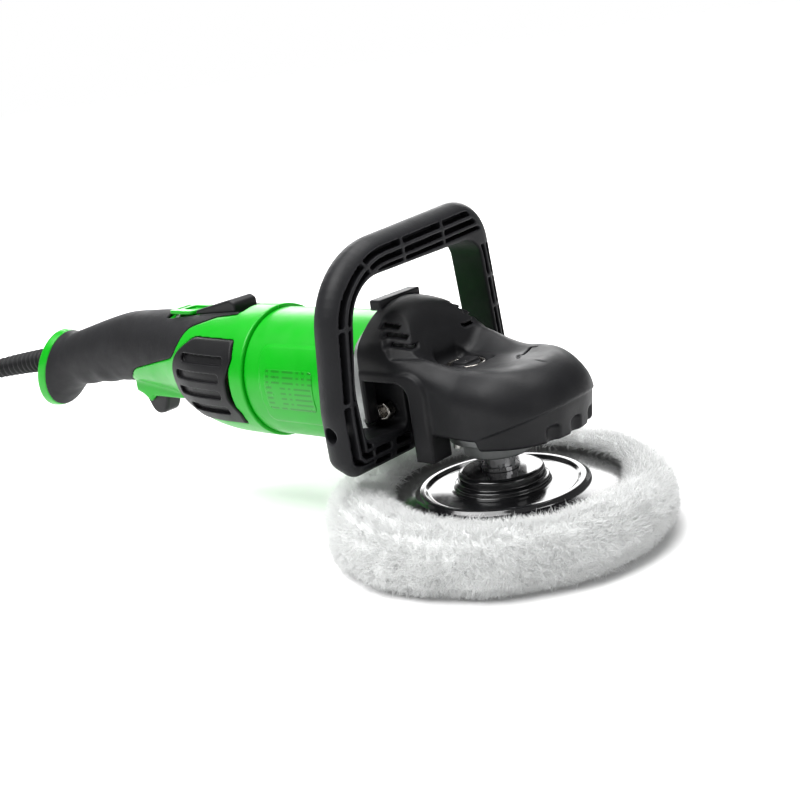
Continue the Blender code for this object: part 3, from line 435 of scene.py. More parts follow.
BLACK = (0.0062, 0.0063, 0.0075)
GREEN = (0.0006, 0.37, 0.006)
MATERIALS = {
    "machined_steel": metal((0.52, 0.52, 0.53), 0.28, brushed=0.5),
    "gear_steel": metal((0.36, 0.36, 0.38), 0.33, grain=0.2),
    "bearing_steel": metal((0.62, 0.63, 0.65), 0.22, brushed=0.6),
    "lamination": banded((0.24, 0.24, 0.26), "X", 320.0, 0.2, ((0.3, 0.5), (0.7, 1.2)), 0.8, 0.5,
                         (0.4, 0.0002)),
    "copper": banded((0.75, 0.34, 0.15), "DIAGONAL", 260.0, 1.5, ((0.2, 0.35), (0.8, 1.0)), 0.9, 0.32,
                     (0.8, 0.0004)),
    "white_nylon": moulded((0.72, 0.72, 0.68), 0.45, worn=1.1),
    "black_nylon": moulded((0.03, 0.03, 0.032), 0.45),
    "brass": metal((0.78, 0.57, 0.22), 0.3, brushed=0.3),
    "carbon": moulded((0.04, 0.04, 0.042), 0.6, grain=0.5),
    "cast_aluminium": metal((0.33, 0.34, 0.34), 0.55, grain=0.55, scale=1600.0),
    "cover_rubber": moulded(BLACK, 0.47, grain=0.3, worn=1.6),
    "zinc_screw": metal((0.66, 0.66, 0.62), 0.3),
    "button_plastic": moulded((0.010, 0.010, 0.0112), 0.4, worn=1.5),
    "bright_steel": metal((0.42, 0.40, 0.37), 0.2, brushed=0.3),
    "green_shell": moulded(GREEN, 0.33, grain=0.08, mottle=0.04, coat=0.12, worn=1.05, shine=0.3),
    "label": data_label(scaled(GREEN, 0.92)),
    "vent_plastic": moulded((0.0085, 0.0085, 0.0095), 0.42, worn=1.5),
    "grip_rubber": moulded((0.009, 0.009, 0.0105), 0.6, grain=0.6, scale=1100.0, worn=1.3),
    "circuit_board": circuit_board(),
    "cord_rubber": moulded((0.009, 0.009, 0.010), 0.5, grain=0.3),
    "handle_plastic": moulded((0.0085, 0.0087, 0.0102), 0.5, grain=0.4, scale=1000.0, worn=1.6),
    "plate_gloss": moulded((0.009, 0.009, 0.010), 0.13, grain=0.03, mottle=0.3, coat=0.6, shine=0.5),
    "wool": wool_fibre((0.84, 0.85, 0.845), 0.07),
}
for slot_name, finish in MATERIALS.items():
    finish.name = slot_name


def dress_frame_nodes():
    """Every carried-over node gets the finish of its slot in the record."""
    slots = {entry["node"]: entry["material_slot"] for entry in frame["record"]["subparts"]}
    for node, item in frame["nodes"].items():
        item.data.materials.clear()
        item.data.materials.append(MATERIALS[slots[node]])


# ---------- gear head

NOSE_X, NOSE_LENGTH, NOSE_WIDTH, WAIST_WIDTH = 14, 44, 43.8, 41
DECK_Z, VALLEY_Z, NECK_BOTTOM_Z = 108, 104.6, 56
SKIRT_FRONT_Z, SKIRT_REAR_Z = 66.3, 71.5
HUMP_RADIUS = 50.5
SCOOP_X, SCOOP_RADIUS = 34, 63
# Turning points of the direction arrow, then the thumb dents, as x and distance from the middle
ARROW = ((20, 2.5), (14.5, 10), (17.5, 10.5), (14.3, 23.5), (18, 24.2))
SCALLOPS = ((58, 0), (55.4, 19))
COVER_REAR_CUT_X = -60.5
COVER_WALL = 2.7
RECESS_FRONT_X = -25.5
RECESS_TOP_Z = 101.5
RECESS_DEPTH_Y = 18.5
BAND_FRONT_X = -12.8
BAND_TOP_Z = 107.5


def head_distance(x, y, z):
    """The gear head's outer skin: a rounded nose that meets a raised drum over the gears."""
    side = abs(y)
    forward = maximum(x - NOSE_X, 0) / NOSE_LENGTH
    width = NOSE_WIDTH + (WAIST_WIDTH - NOSE_WIDTH) * smooth_step(NOSE_X - x, 0, 26)
    plan = ((forward ** 2.4 + (side / width) ** 2.4) ** (1 / 2.4) - 1) * width
    crease = 79.5 + 0.36 * (x - 36.5)
    below = clip(crease - z, 0, 20)
    plan = plan + (0.9 * smooth_step(below, 0, 1) + 0.10 * below) * smooth_step(x, 16, 30)
    ridge = DECK_Z + 0.25 * smax(3 - x, 0 * x, 4) - 0.01 * maximum(x - 20, 0)
    valley = VALLEY_Z + 2.4 * smooth_step(x, -6, 36) + 0.35 * smax(-22 - x, 0 * x, 6)
    deck = valley + (ridge - valley) * smooth_step(side, 13, 34)
    rounding = 9 + 10 * smooth_step(x, -34, 12) + 6 * smooth_step(x, 22, 45)
    neck = smooth_step(-x, 24, 28)
    floor = SKIRT_REAR_Z + (SKIRT_FRONT_Z - SKIRT_REAR_Z) * smooth_step(x, 18, 21)
    floor = floor + 0.03 * maximum(x - 25, 0)
    floor = floor + (NECK_BOTTOM_Z - floor) * neck
    body = smax(plan, z - deck, rounding)
    body = smax(body, floor - z, 2)
    hump = hypot(y, z - MOTOR_Z) - HUMP_RADIUS + 0.0216 * maximum(x + 44, 0) ** 2
    hump = hump / hypot(1, 0.0432 * maximum(x + 44, 0))
    scoop = (SCOOP_RADIUS + 0.42 * (z - 108) - hypot(x - SCOOP_X, y)) / math.hypot(1, 0.42)
    hump = smax(hump, scoop, 14)
    hump = smax(hump, MOTOR_Z + 4 - z, 1)
    hump = smax(hump, plan - 1, 4)
    return smin(body, hump, 3)


def foot_outline(front, top, corner, steps):
    return rounded([(-80, 40, 0), (front, 40, 0), (front, top, corner), (-80, top, 0)], steps)


FOOT_RECESS = foot_outline(RECESS_FRONT_X, RECESS_TOP_Z, 9, 8)
FOOT_BAND = foot_outline(BAND_FRONT_X, BAND_TOP_Z, 14, 12)


def recess_distance(x, y, z, grow=0):
    """The windows for the loop handle's feet: open below, closed behind by a thin cheek."""
    side = abs(y)
    inner = maximum(polygon(x, z, FOOT_RECESS) - grow, RECESS_DEPTH_Y - grow - side)
    behind = maximum(maximum(x + 57 + grow, 76 + grow - z), 34 + grow - side)
    return maximum(inner, -behind)


# The vent pocket's floor is a plane through these three places on the right side
POCKET_FRONT, POCKET_TOP, POCKET_REAR = (-18.5, -25.8, 113), (-37.6, -19.8, 129.2), (-36, -38.6, 115.2)
POCKET_WALL_HIGH, POCKET_WALL_LOW = (-50.3, 133.5), (-36.3, 115)
FAR_POCKET_LIFT = 2.5
BUTTON_ROOM_LOW, BUTTON_ROOM_HIGH = (BUTTON_X - 14.7, -13.2, 101.8), (BUTTON_X + 14.7, 13.2, 125)
# Vent slots: rear end, front end and height, on lines that fall a little towards the front
POCKET_SLOTS = ((-50, -41.5, 129.5), (-46, -34.8, 126.1), (-41.5, -29.2, 122.4))


def pocket_plane(x, side, z):
    """Distance beyond the pocket's floor, away from the head's middle."""
    a, b, c = (Vector(place) for place in (POCKET_FRONT, POCKET_TOP, POCKET_REAR))
    normal = (b - a).cross(c - a).normalized()
    if normal.y > 0:
        normal = -normal
    return normal.x * (x - a.x) + normal.y * (-side - a.y) + normal.z * (z - a.z)


def vent_pocket(x, side, z):
    """The three-cornered pocket on each cheek of the drum."""
    run_x = POCKET_WALL_LOW[0] - POCKET_WALL_HIGH[0]
    run_z = POCKET_WALL_LOW[1] - POCKET_WALL_HIGH[1]
    length = math.hypot(run_x, run_z)
    behind = ((x - POCKET_WALL_LOW[0]) * run_z - (z - POCKET_WALL_LOW[1]) * run_x) / length
    pocket = smax(-pocket_plane(x, side, z), behind, 0.8)
    ledge = 112.8 - 0.11 * (x + 19) - z
    return smax(pocket, ledge, 0.8)


def cover_dents(x, y, z):
    """Places where the cover and everything under it are pressed in: pockets and thumb dents."""
    side = abs(y)
    dents = vent_pocket(x, side, z) + where(y > 0, FAR_POCKET_LIFT, 0)
    dents = minimum(dents, block(x, y, z, BUTTON_ROOM_LOW, BUTTON_ROOM_HIGH, 5))
    for centre in SCALLOPS:
        dents = minimum(dents, scallop(x, side, z, centre))
    return dents


def cover_distance(x, y, z):
    side = abs(y)
    head = head_distance(x, y, z)
    dents = cover_dents(x, y, z)
    band = smax(polygon(x, z, FOOT_BAND), side - 43.2, 2.2)
    band = smax(band, 24 - side, 1)
    band = maximum(band, NECK_BOTTOM_Z - z)
    outer = smin(head, band, 1)
    outer = smax(outer, -recess_distance(x, y, z), 1.2)
    outer = smax(outer, -dents, 0.8)
    outer = smax(outer, COVER_REAR_CUT_X - x, 1)
    hollow = maximum(head, -dents) + COVER_WALL + 0.1
    hollow = maximum(hollow, -recess_distance(x, y, z, COVER_WALL))
    shell = smax(outer, -hollow, 0.5)
    shell = minimum(shell, top_latch(x, y, z))
    shell = carve(shell, disc(x, y, z, (0, 0), 29.3, 50, 74), block(x, y, z, (-90, -19, 40), (-24, 19, 62)))
    shell = smax(shell, -disc(x, y, z, (BUTTON_X, 0), 12, 90, 120), 0.5)
    fallen = z + 0.28 * (x + 45)
    for rear, front, middle in POCKET_SLOTS:
        slot = smax(smax(slab(x, rear, front), abs(fallen - middle) - 1.05, 0.5), 18 - side, 0.3)
        slot = smax(slot, -4.5 - pocket_plane(x, side, z), 0.3)
        shell = smax(shell, -slot, 0.25)
    return smax(shell, -arrow_groove(x, y, z), 0.2)


def top_latch(x, y, z):
    """The tongue that reaches back over the barrel, and the flat pad across the drum's rear."""
    tongue = smax(slab(hypot(y, z - MOTOR_Z), 43.4, 49.6), slab(x, -85, -58), 1.2)
    tongue = smax(tongue, abs(y) - 21, 2)
    tongue = maximum(tongue, MOTOR_Z - z)
    pad = block(x, y, z, (-66.5, -18.3, 134.5), (-58.0, 18.3, 142.9), 0.9)
    latch = smin(tongue, pad, 0.6)
    return maximum(latch, -(head_distance(x, y, z) + 1))


def scallop(x, side, z, centre):
    """A thumb-shaped dent in the nose's lower edge."""
    across = hypot(x - centre[0], side - centre[1])
    return smax(across - 5.6, z - 76.5, 3)


def arrow_groove(x, y, z):
    """A plain engraved direction arrow on the deck."""
    groove = 1e3 + 0 * x * y
    for first, last in zip(ARROW, ARROW[1:]):
        groove = minimum(groove, from_line(x, y, first, last))
    return maximum(groove - 0.65, 104.9 - z)


def case_distance(x, y, z):
    """The cast case: smaller than the cover, with its flange, neck and gear rooms."""
    inset = COVER_WALL + 1.1
    head = maximum(head_distance(x, y, z), -cover_dents(x, y, z)) + inset
    head = maximum(head, -recess_distance(x, y, z, inset))
    case = maximum(head, LOOP_REAR_X + 1.6 - x)
    case = maximum(case, 8 - vent_pocket(x, abs(y), z))
    radius = hypot(y, z - MOTOR_Z)
    flange = smax(radius - 42, slab(x, BARREL_FRONT_X + GAP, -64), 0.8)
    rim = smax(slab(radius, 35, 42), slab(x, -66, -59), 0.6)
    rim = maximum(rim, 77 - z)
    neck = disc(x, y, z, (0, 0), 27.5, 66.2, 75, 0.4)
    case = minimum(smin(case, flange, 0.5), minimum(neck, rim))
    shaft_z = MOTOR_Z - 16
    # Bores: axes across and along, centre, and each step's radius and ends
    bores = (
        ((x, y, z), (0, 0), ((21.6, 60, 90), (8.9, 88, 95.8))),
        ((y, z, x), (0, shaft_z), ((7.9, -61.9, -10), (8.4, -22.7, -10), (14.6, -57.2, -45))),
        ((y, z, x), (0, MOTOR_Z), ((7, -80, -44), (11.3, -80, -63.2))),
        ((x, y, z), (BUTTON_X, 0), ((2.9, 85, 112), (4.6, 92, 112), (9, 96.1, 112), (11.7, 100.8, 112))),
        ((x, z, abs(y)), (LOOP_MIDDLE_X, BOLT_Z), ((4.3, 15, 40),)),
    )
    return carve(case, *(disc(*axes, centre, *step) for axes, centre, steps in bores for step in steps))


def build_gear_head():
    cover = skin("gear_cover_skin", cover_distance, (-88, -54, 50), (63, 54, 152), 0.8)
    place(cover, "gear_cover", "cover_rubber")
    case = skin("gear_case_casting", case_distance, (-73, -51, 44), (60, 51, 143), 1.0)
    place(case, "gear_case", "cast_aluminium")
    cap = rounded([(17.4, 65.9, 0), (17.4, 54, 0), (10.5, 54, 0), (10.5, 51.7, 0), (19.6, 51.7, 1.6),
                   (20.4, 61, 1.5), (27.3, 61.5, 1), (27.3, 65.9, 0)], 4)
    place(revolve("bearing_cap_ring", cap), "bearing_cap", "cast_aluminium")


# ---------- spindle lock

def build_lock():
    ring = rounded([(9, 101, 0), (11.4, 101, 0), (11.4, 103.3, 0.6), (9.6, 103.3, 0.4)], 3)
    place(revolve("lock_ring_bright", ring, (BUTTON_X, 0), 96), "lock_ring", "bright_steel")

    def button_distance(x, y, z):
        cap = smax(hypot(x - BUTTON_X, y) - 8.6, slab(z, 99.9, 103.3), 0.6)
        thumb = block(x, y, z, (BUTTON_X - 5.4, -7.6, 102.4), (BUTTON_X + 5.4, 7.6, 104.9), 1.1)
        thumb = smax(thumb, hypot(x - BUTTON_X, y) - 8, 0.8)
        pin = disc(x, y, z, (BUTTON_X, 0), 2.3, 88, 102)
        dimple = hypot(hypot(x - BUTTON_X - 2.5, y + 3), z - 105.1) - 0.9
        return smax(minimum(smin(cap, thumb, 0.6), pin), -dimple, 0.2)

    low, high = (BUTTON_X - 10, -10, 86.5), (BUTTON_X + 10, 10, 108)
    button = skin("lock_button_cap", button_distance, low, high, 0.35)
    place(button, "spindle_lock_button", "button_plastic", "lock_button_body")


# ---------- loop handle

LOOP_OUTER = rounded([
    (-70, 53.5, 5), (-79.5, 62, 8), (-80.5, 92, 40), (-70.5, 180.5, 52), (72, 188.5, 27),
    (80.5, 92, 40), (79.5, 62, 8), (70, 53.5, 5),
], 14)
LOOP_INNER = rounded([
    (-28.5, 71, 5), (-28.5, 98.3, 1.5), (-20, 98.3, 1.5), (-20, 40, 0), (20, 40, 0),
    (20, 98.3, 1.5), (28.5, 98.3, 1.5), (28.5, 71, 5), (63, 74, 5), (65.5, 100, 60),
    (59.5, 164.5, 14), (-56, 162, 27), (-66.5, 104, 60), (-64, 74, 5),
], 10)
# Rows of pockets, as depths below the loop's outer surface
SLOT_ROWS = ((4.7, 8.4), (10.3, 13.7), (15.6, 18.2))
BAR_SHIFT = 1.4
NEAR_RIBS, FAR_RIBS = (138.5, 97.3), (138.8, 119.7, 92)
BAR_RIBS = (-10.3, 26.7)
RIB_HALF = 0.85
PLATE_TOP_Z = 98.3
FRONT_ROUNDING, REAR_ROUNDING = 10.5, 15


def loop_distance(x, y, z):
    """The loop: a well rounded outer edge, a tighter inner edge, and ribbed pockets front and rear."""
    side = abs(y)
    outer = polygon(y, z, LOOP_OUTER)
    opening = polygon(y, z, LOOP_INNER)
    loop = smax(outer, x - LOOP_FRONT_X, FRONT_ROUNDING)
    loop = smax(loop, LOOP_REAR_X - x, REAR_ROUNDING)
    loop = maximum(loop, abs(x - LOOP_MIDDLE_X) - (LOOP_FRONT_X - LOOP_REAR_X) / 2)
    loop = smax(loop, -opening, 1.5)
    pocket = minimum(loop_slots(y, z, outer, opening), foot_slots(side, z))
    deep = smax(pocket, LOOP_FRONT_X - 8.5 - x, 0.8)
    rear_deep = smax(pocket, x - (LOOP_REAR_X + 4), 0.8)
    loop = smax(loop, -minimum(deep, rear_deep), 0.45)
    front_corner = smax(x - LOOP_FRONT_X, z - PLATE_TOP_Z, 6)
    rear_corner = smax(LOOP_REAR_X - x, z - PLATE_TOP_Z, 6)
    in_plate = (side < 33) & (z > 78) & (z < 120)
    loop = where(in_plate, maximum(loop, maximum(front_corner, rear_corner)), loop)
    barrel = hypot(y, z - MOTOR_Z) - 43
    loop = smax(loop, -maximum(barrel, x + 63.4), 0.5)
    loop = smax(loop, -disc(x, z, side, (LOOP_MIDDLE_X, BOLT_Z), 4.4, 10, 40), 0.3)
    loop = smax(loop, -disc(x, z, side, (LOOP_MIDDLE_X, BOLT_Z), 4.8, 50, 95), 0.6)
    return loop


def loop_slots(y, z, outer, opening):
    """Long pockets in rows that follow the loop's outer edge, broken by cross ribs."""
    on_bar = smooth_step(z, 150, 170)
    bar_depth = 0.998 * (180.5 - z) + 0.056 * (y + 70.5)
    far_corner = (y > 20) & (z > 161.5)
    tone_spread = where(far_corner, bar_depth, -outer) - BAR_SHIFT * on_bar
    rib = np.full(np.broadcast(y, z).shape, 1e3)
    for zone, run, levels in ((z > 152, y, BAR_RIBS), (y < -44, z, NEAR_RIBS), (y > 44, z, FAR_RIBS)):
        for level in levels:
            rib = where(zone, minimum(rib, abs(run - level)), rib)
    near_corner = abs((y + 40.3) * 0.742 + (z - 165.8) * 0.67)
    rib = where((y < -30) & (z > 150), minimum(rib, near_corner), rib)
    gate = RIB_HALF - rib
    bar_end = (y - 58.4 + 0.75 * (z - 174)) / 1.25
    gate = where(far_corner, maximum(gate, bar_end), gate)
    gate = where((y > 44) & (z < 161.5) & (z > 150), maximum(gate, z - 159), gate)
    slots = np.full(gate.shape, 1e3)
    for near, far in SLOT_ROWS:
        row = smax(slab(tone_spread, near, far), 1.7 - opening, 0.8)
        row = smax(row, maximum(gate, 61 - z), 1.3)
        slots = minimum(slots, row)
    foot = maximum(abs(y) - 60, z - 90)
    return maximum(slots, -foot)


def foot_slots(side, z):
    """Two by two pockets in each foot's arm."""
    across = minimum(slab(side, 26.5, 40), slab(side, 44.2, 58.2))
    return smax(across, minimum(slab(z, 57.6, 61.2), slab(z, 64, 67.8)), 1.2)


def build_loop_handle():
    loop = skin("loop_handle_moulding", loop_distance, (-68.5, -84, 51), (-38.5, 84, 191), 0.8)
    place(loop, "loop_handle", "handle_plastic")
    for side, word in ((1, "left"), (-1, "right")):

        def bolt_distance(x, y, z, side=side):
            along = y * side
            head = smax(hypot(x - LOOP_MIDDLE_X, z - BOLT_Z) - 5.2, slab(along, 28.8, 34.5), 0.6)
            shank = disc(x, z, along, (LOOP_MIDDLE_X, BOLT_Z), 3.9, 16.2, 30, 0.4)
            turned = math.radians(12)
            u = (x - LOOP_MIDDLE_X) * math.cos(turned) + (z - BOLT_Z) * math.sin(turned)
            v = (z - BOLT_Z) * math.cos(turned) - (x - LOOP_MIDDLE_X) * math.sin(turned)
            slanted = maximum(abs(u * 0.5 + v * 0.866), abs(u * 0.5 - v * 0.866))
            hexagon = maximum(abs(u), slanted) - 3
            return smax(minimum(head, shank), -maximum(hexagon, 30.4 - along), 0.25)

        low_y, high_y = sorted((side * 14.5, side * 36))
        bolt = skin(f"handle_bolt_bright_{word}", bolt_distance, (LOOP_MIDDLE_X - 7, low_y, BOLT_Z - 7),
                    (LOOP_MIDDLE_X + 7, high_y, BOLT_Z + 7), 0.4)
        place(bolt, f"handle_bolt_{word}", "bright_steel")


# ---------- motor barrel

def barrel_distance(x, y, z):
    """The green tube with a shallow raised field on each side and screw bosses inside."""
    radius = hypot(y, z - MOTOR_Z)
    height = z - MOTOR_Z
    flank = smax(slab(height, -22, 26), slab(x, -147, -60), 5)
    raised = 0.9 * smooth_step(-flank, -0.8, 0.9) * (abs(y) > 10)
    tube = smax(radius - (BARREL_RADIUS + raised), slab(x, SEAM_X, BARREL_FRONT_X), 0.7)
    tube = smax(tube, 38 - radius, 0.4)
    for across, level in ((25.6, 116.4), (13, 56.5)):
        boss = disc(abs(y), z, x, (across, level), 4.4, -98, BARREL_FRONT_X - GAP, 0.4)
        tube = minimum(tube, carve(boss, disc(abs(y), z, x, (across, level), 2.2, -94, -60)))
    return tube


def plate_distance(x, y, z):
    """The data plate: a thin curved tile with rounded corners on the tool's right side."""
    radius = hypot(y, z - MOTOR_Z)
    height = z - MOTOR_Z
    edge = smax(slab(x, -142, -101), slab(height, -12.4, 13.2), 3.5)
    tile = smax(edge, slab(radius, BARREL_RADIUS + 0.75, BARREL_RADIUS + 1.25), 0.15)
    return maximum(tile, y + 20)


def build_barrel():
    barrel = skin("motor_barrel", barrel_distance, (SEAM_X - 2, -44, MOTOR_Z - 44),
                  (BARREL_FRONT_X + 2, 44, MOTOR_Z + 44), 0.9)
    place(barrel, "motor_housing", "green_shell")
    tile = skin("data_plate", plate_distance, (-144, -45, MOTOR_Z - 16), (-99, -36, MOTOR_Z + 17), 0.4)
    place(tile, "rating_plate", "label")


# ---------- rear housing and grip

# Along the rear housing and grip: x, z of the middle, lean in degrees, half height, half width
STATIONS = (
    (-150, 90.9, 0, 43.1, 43.1), (SEAM_X, 90.9, 0, 43.1, 43.1), (-180, 90.8, 0, 42.9, 42.8),
    (-200, 90.6, 0, 42, 42), (-218, 91.5, 0, 40, 39.6), (-234, 93.5, 0, 36.6, 35),
    (-248, 96.5, 1, 32.6, 30), (-262, 98.7, 3, 29.8, 26.6), (-280, 99.8, 5, 28, 24.2),
    (-300, 100.4, 8, 26.6, 22.4), (-320, 100.2, 12, 25.8, 21.2), (-345, 96.6, 17, 25.4, 20),
    (-370, 92, 20, 24.4, 19.2), (-390, 87, 20, 24.2, 19), (-402, 81.5, 20, 27.6, 20),
    (-410, 78.8, 20, 31.8, 21.8), (-417, 78.7, 20, 33.2, 23), (-435, 78.9, 20, 33.2, 23),
)
FLANGE_FRONT_X, FLANGE_REAR_X = -409.6, -419.4
CORD_Z = 86
RUBBER = 2


def station_table():
    """The stations joined by smooth curves, sampled every half millimetre."""
    knots = np.array(STATIONS[::-1], float)
    places = np.arange(knots[0, 0], knots[-1, 0], 0.5)
    slopes = np.gradient(knots[:, 1:], knots[:, 0], axis=0)
    index = clip(np.searchsorted(knots[:, 0], places, side="right") - 1, 0, len(knots) - 2)
    span = knots[index + 1, 0] - knots[index, 0]
    t = ((places - knots[index, 0]) / span)[:, None]
    span = span[:, None]
    a, b = knots[index, 1:], knots[index + 1, 1:]
    values = ((2 * t ** 3 - 3 * t ** 2 + 1) * a + (t ** 3 - 2 * t ** 2 + t) * span * slopes[index]
              + (3 * t ** 2 - 2 * t ** 3) * b + (t ** 3 - t ** 2) * span * slopes[index + 1])
    return places, values


TABLE_X, TABLE = station_table()


def along_housing(x, y, z):
    """(station x, distance to the housing's skin) for points near the rear housing."""
    station = x + 0 * z
    for _ in range(4):
        middle = interp(station, TABLE_X, TABLE[:, 0])
        lean = np.radians(interp(station, TABLE_X, TABLE[:, 1]))
        station = x - (z - middle) * np.tan(lean)
    middle, lean, high, wide = (interp(station, TABLE_X, TABLE[:, i]) for i in range(4))
    up = (z - middle) / np.cos(np.radians(lean))
    reach = sqrt((y / wide) ** 2 + (up / high) ** 2) + 1e-6
    steep = sqrt((y / wide ** 2) ** 2 + (up / high ** 2) ** 2) / reach + 1e-6
    return station, (reach - 1) / steep


RUBBER_EDGE = rounded([
    (-450, 30, 0), (-315, 30, 0), (-315, 78.5, 5), (-298, 90.2, 30),
    (-240, 103.5, 14), (-228, 122.5, 14), (-205, 128.6, 20), (-186, 130.5, 0),
    (-186, 170, 0), (-450, 170, 0),
], 8)
VENT_OUTLINE = rounded([
    (-236, 75, 15), (-217, 63.8, 14), (-173, 63.8, 2), (-171.6, 72, 4), (-177.5, 82, 8),
    (-177, 95, 8), (-171.6, 108, 4), (-173.5, 118.6, 3), (-215, 118.6, 18),
    (-240, 104, 18),
], 8)
VENT_SLOTS = ((-222, -181, 70.6), (-230, -183.5, 81.6), (-231, -183, 92.6), (-224, -179, 103.6))
GUARD_OUTLINE = rounded([
    (-320, 70.5, 2), (-312, 80, 6), (-282, 88, 10), (-262, 84, 6), (-262, 66, 5),
    (-296, 66, 3), (-302, 61.5, 1.5), (-309, 66.5, 3),
])
SWITCH_ROOM = ((-262.6, -11.7, 127.4), (-184, 11.7, 160))


def rubber_zone(x, z, station):
    return smax(polygon(x, z, RUBBER_EDGE), FLANGE_FRONT_X - station, 0.5)


def shell_distance(x, y, z):
    """The green clamshell's left half, with the end flange, the finger guard and its pockets."""
    station, skin_distance = along_housing(x, y, z)
    swell = smooth_step(-station, -FLANGE_FRONT_X - 1, -FLANGE_FRONT_X + 1)
    body = smax(skin_distance + 0.2 * swell, FLANGE_REAR_X - station, 2.6)
    body = smax(body, x - (SEAM_X - GAP), 0.8)
    guard = smax(polygon(x, z, GUARD_OUTLINE), abs(y) - 9.8, 2.5)
    body = smin(body, guard, 2.5)
    pocket = maximum(rubber_zone(x, z, station) - 0.25, -(skin_distance + RUBBER + 0.25))
    body = smax(body, -pocket, 0.2)
    vent = maximum(polygon(x, z, VENT_OUTLINE) - 0.35, -(skin_distance + 2.6))
    vent = maximum(vent, 10 - y)
    body = smax(body, -vent, 0.2)
    wall = 4.4 + 0.8 * smooth_step(-station, 225, 250) + 8.4 * smooth_step(-station, 392, 410)
    window = block(x, y, z, (-214, 24, 74), (-174, 60, 114), 4)
    body = carve(body, skin_distance + wall, window)
    body = smax(body, -block(x, y, z, *SWITCH_ROOM), 0.3)
    slide_slot = block(x, y, z, (-226, -3.6, 110), (-201, 3.6, 150))
    trigger_room = block(x, y, z, (-317, -7.4, 50), (-277.5, 7.4, 90))
    pin_hole = disc(x, z, y, (PIVOT_X, PIVOT_Z), 1.8, -9.1, 9.1)
    cord_hole = maximum(hypot(y, z - CORD_Z) - 10.6, x + 396)
    return maximum(carve(body, slide_slot, trigger_room, pin_hole, cord_hole), 0.12 - y)


def grip_distance(x, y, z):
    """The rubber sleeve over the grip, with finger waves underneath."""
    station, skin_distance = along_housing(x, y, z)
    under = smooth_step(-(z - interp(station, TABLE_X, TABLE[:, 0])), 6, 16)
    waves = 0.7 * under * smooth_step(-station, 318, 326) * smooth_step(station, -396, -384)
    outer = skin_distance - 0.25 - waves * np.sin((station + 330) / 24 * math.pi) ** 2
    sleeve = smax(outer, -(skin_distance + RUBBER), 0.3)
    sleeve = smax(sleeve, rubber_zone(x, z, station), 0.9)
    sleeve = carve(sleeve, block(x, y, z, (-317.3, -7.4, 50), (-277.5, 7.4, 90)))
    low, high = SWITCH_ROOM
    wider = ((low[0] - 0.2, low[1] - 0.3, low[2] - 8), (high[0], high[1] + 0.3, high[2]))
    return smax(sleeve, -block(x, y, z, *wider, 2), 0.5)


def vent_distance(x, y, z):
    """A louvred grille that stands a little proud of the housing's left side."""
    _, skin_distance = along_housing(x, y, z)
    edge = polygon(x, z, VENT_OUTLINE)
    slats = smax(slab(skin_distance, -2.5, 1.3), edge, 1.1)
    slats = maximum(slats, 12 - y)
    for rear, front, bottom in VENT_SLOTS:
        slot = smax(slab(x, rear, front), slab(z, bottom, bottom + 5.6), 2.4)
        slot = maximum(slot, -1.3 - skin_distance)
        slats = smax(slats, -slot, 0.5)
    return slats


def build_rear_housing():
    low, high = (-436, -1.5, 40), (SEAM_X + 1.5, 46, 138)
    for side, word in ((1, "left"), (-1, "right")):
        shell = skin(f"clamshell_{word}", shell_distance, low, high, 0.9, mirror=side < 0)
        place(shell, f"handle_shell_{word}", "green_shell")
        vent = skin(f"vent_grille_{word}", vent_distance, (-243, 10, 60), (-168, 46.5, 122), 0.6,
                    mirror=side < 0)
        place(vent, f"vent_cover_{word}", "vent_plastic")
    grip = skin("grip_sleeve", grip_distance, (-425, -41, 42), (-183, 41, 136), 0.8)
    place(grip, "grip_overmould", "grip_rubber")


# ---------- switches

SLIDE_DROP = 3
SLIDE_OUTLINE = rounded([
    (-234, 130.9, 0.5), (-193, 130.9, 0.5), (-193, 139.5, 3), (-197.5, 141.8, 2.5),
    (-232, 134.2, 2),
])
TRIGGER_OUTLINE = rounded([
    (PIVOT_X + 4, PIVOT_Z + 4.5, 3), (PIVOT_X + 4.2, PIVOT_Z - 4, 4), (PIVOT_X - 6.5, 53.5, 8),
    (PIVOT_X - 18.5, 50.8, 8), (PIVOT_X - 26, 64, 14), (PIVOT_X - 31, 76, 2),
    (PIVOT_X - 31, 81.5, 2), (PIVOT_X - 10, 81.5, 2),
])


def slide_distance(x, y, z):
    """The on-off slide: a ribbed wedge with a stem and rod below it."""
    z = z + SLIDE_DROP
    top = 131 + (x + 234) * 0.236
    wedge = smax(polygon(x, z, SLIDE_OUTLINE), abs(y) - 10.4, 1.6)
    dish = smax(smax(slab(x, -231.0, -199.0), abs(y) - 8.2, 2.0), (top + 0.9) - z, 0.4)
    wedge = smax(wedge, -dish, 0.3)
    for index in range(4):
        middle = -226 + 7 * index
        rib = smax(smax(slab(x, middle - 1.1, middle + 1.1), abs(y) - 7.4, 0.6),
                   abs(z - top) - 1.9, 0.6)
        wedge = minimum(wedge, rib)
    stem = block(x, y, z, (-224, -2.8, 117), (-210, 2.8, 132), 0.4)
    rod = block(x, y, z, (-278, -2.4, 117), (-211, 2.4, 120), 0.4)
    return minimum(wedge, minimum(stem, rod))


def bezel_distance(x, y, z):
    """The green frame behind the slide, with a narrow mark window."""
    z = z + SLIDE_DROP
    frame_edge = smax(slab(x, -261.4, -236), abs(y) - 11.2, 5)
    frame_edge = smax(frame_edge, slab(z, 130.8, 133.4), 0.9)
    gap = smax(slab(x, -251, -230), abs(y) - 5.4, 2.6)
    gap = maximum(gap, 131.6 - z)
    mark = smax(slab(x, -257.4, -254.6), abs(y) - 5.5, 1.2)
    mark = maximum(mark, 132.3 - z)
    return smax(smax(frame_edge, -gap, 0.5), -mark, 0.3)


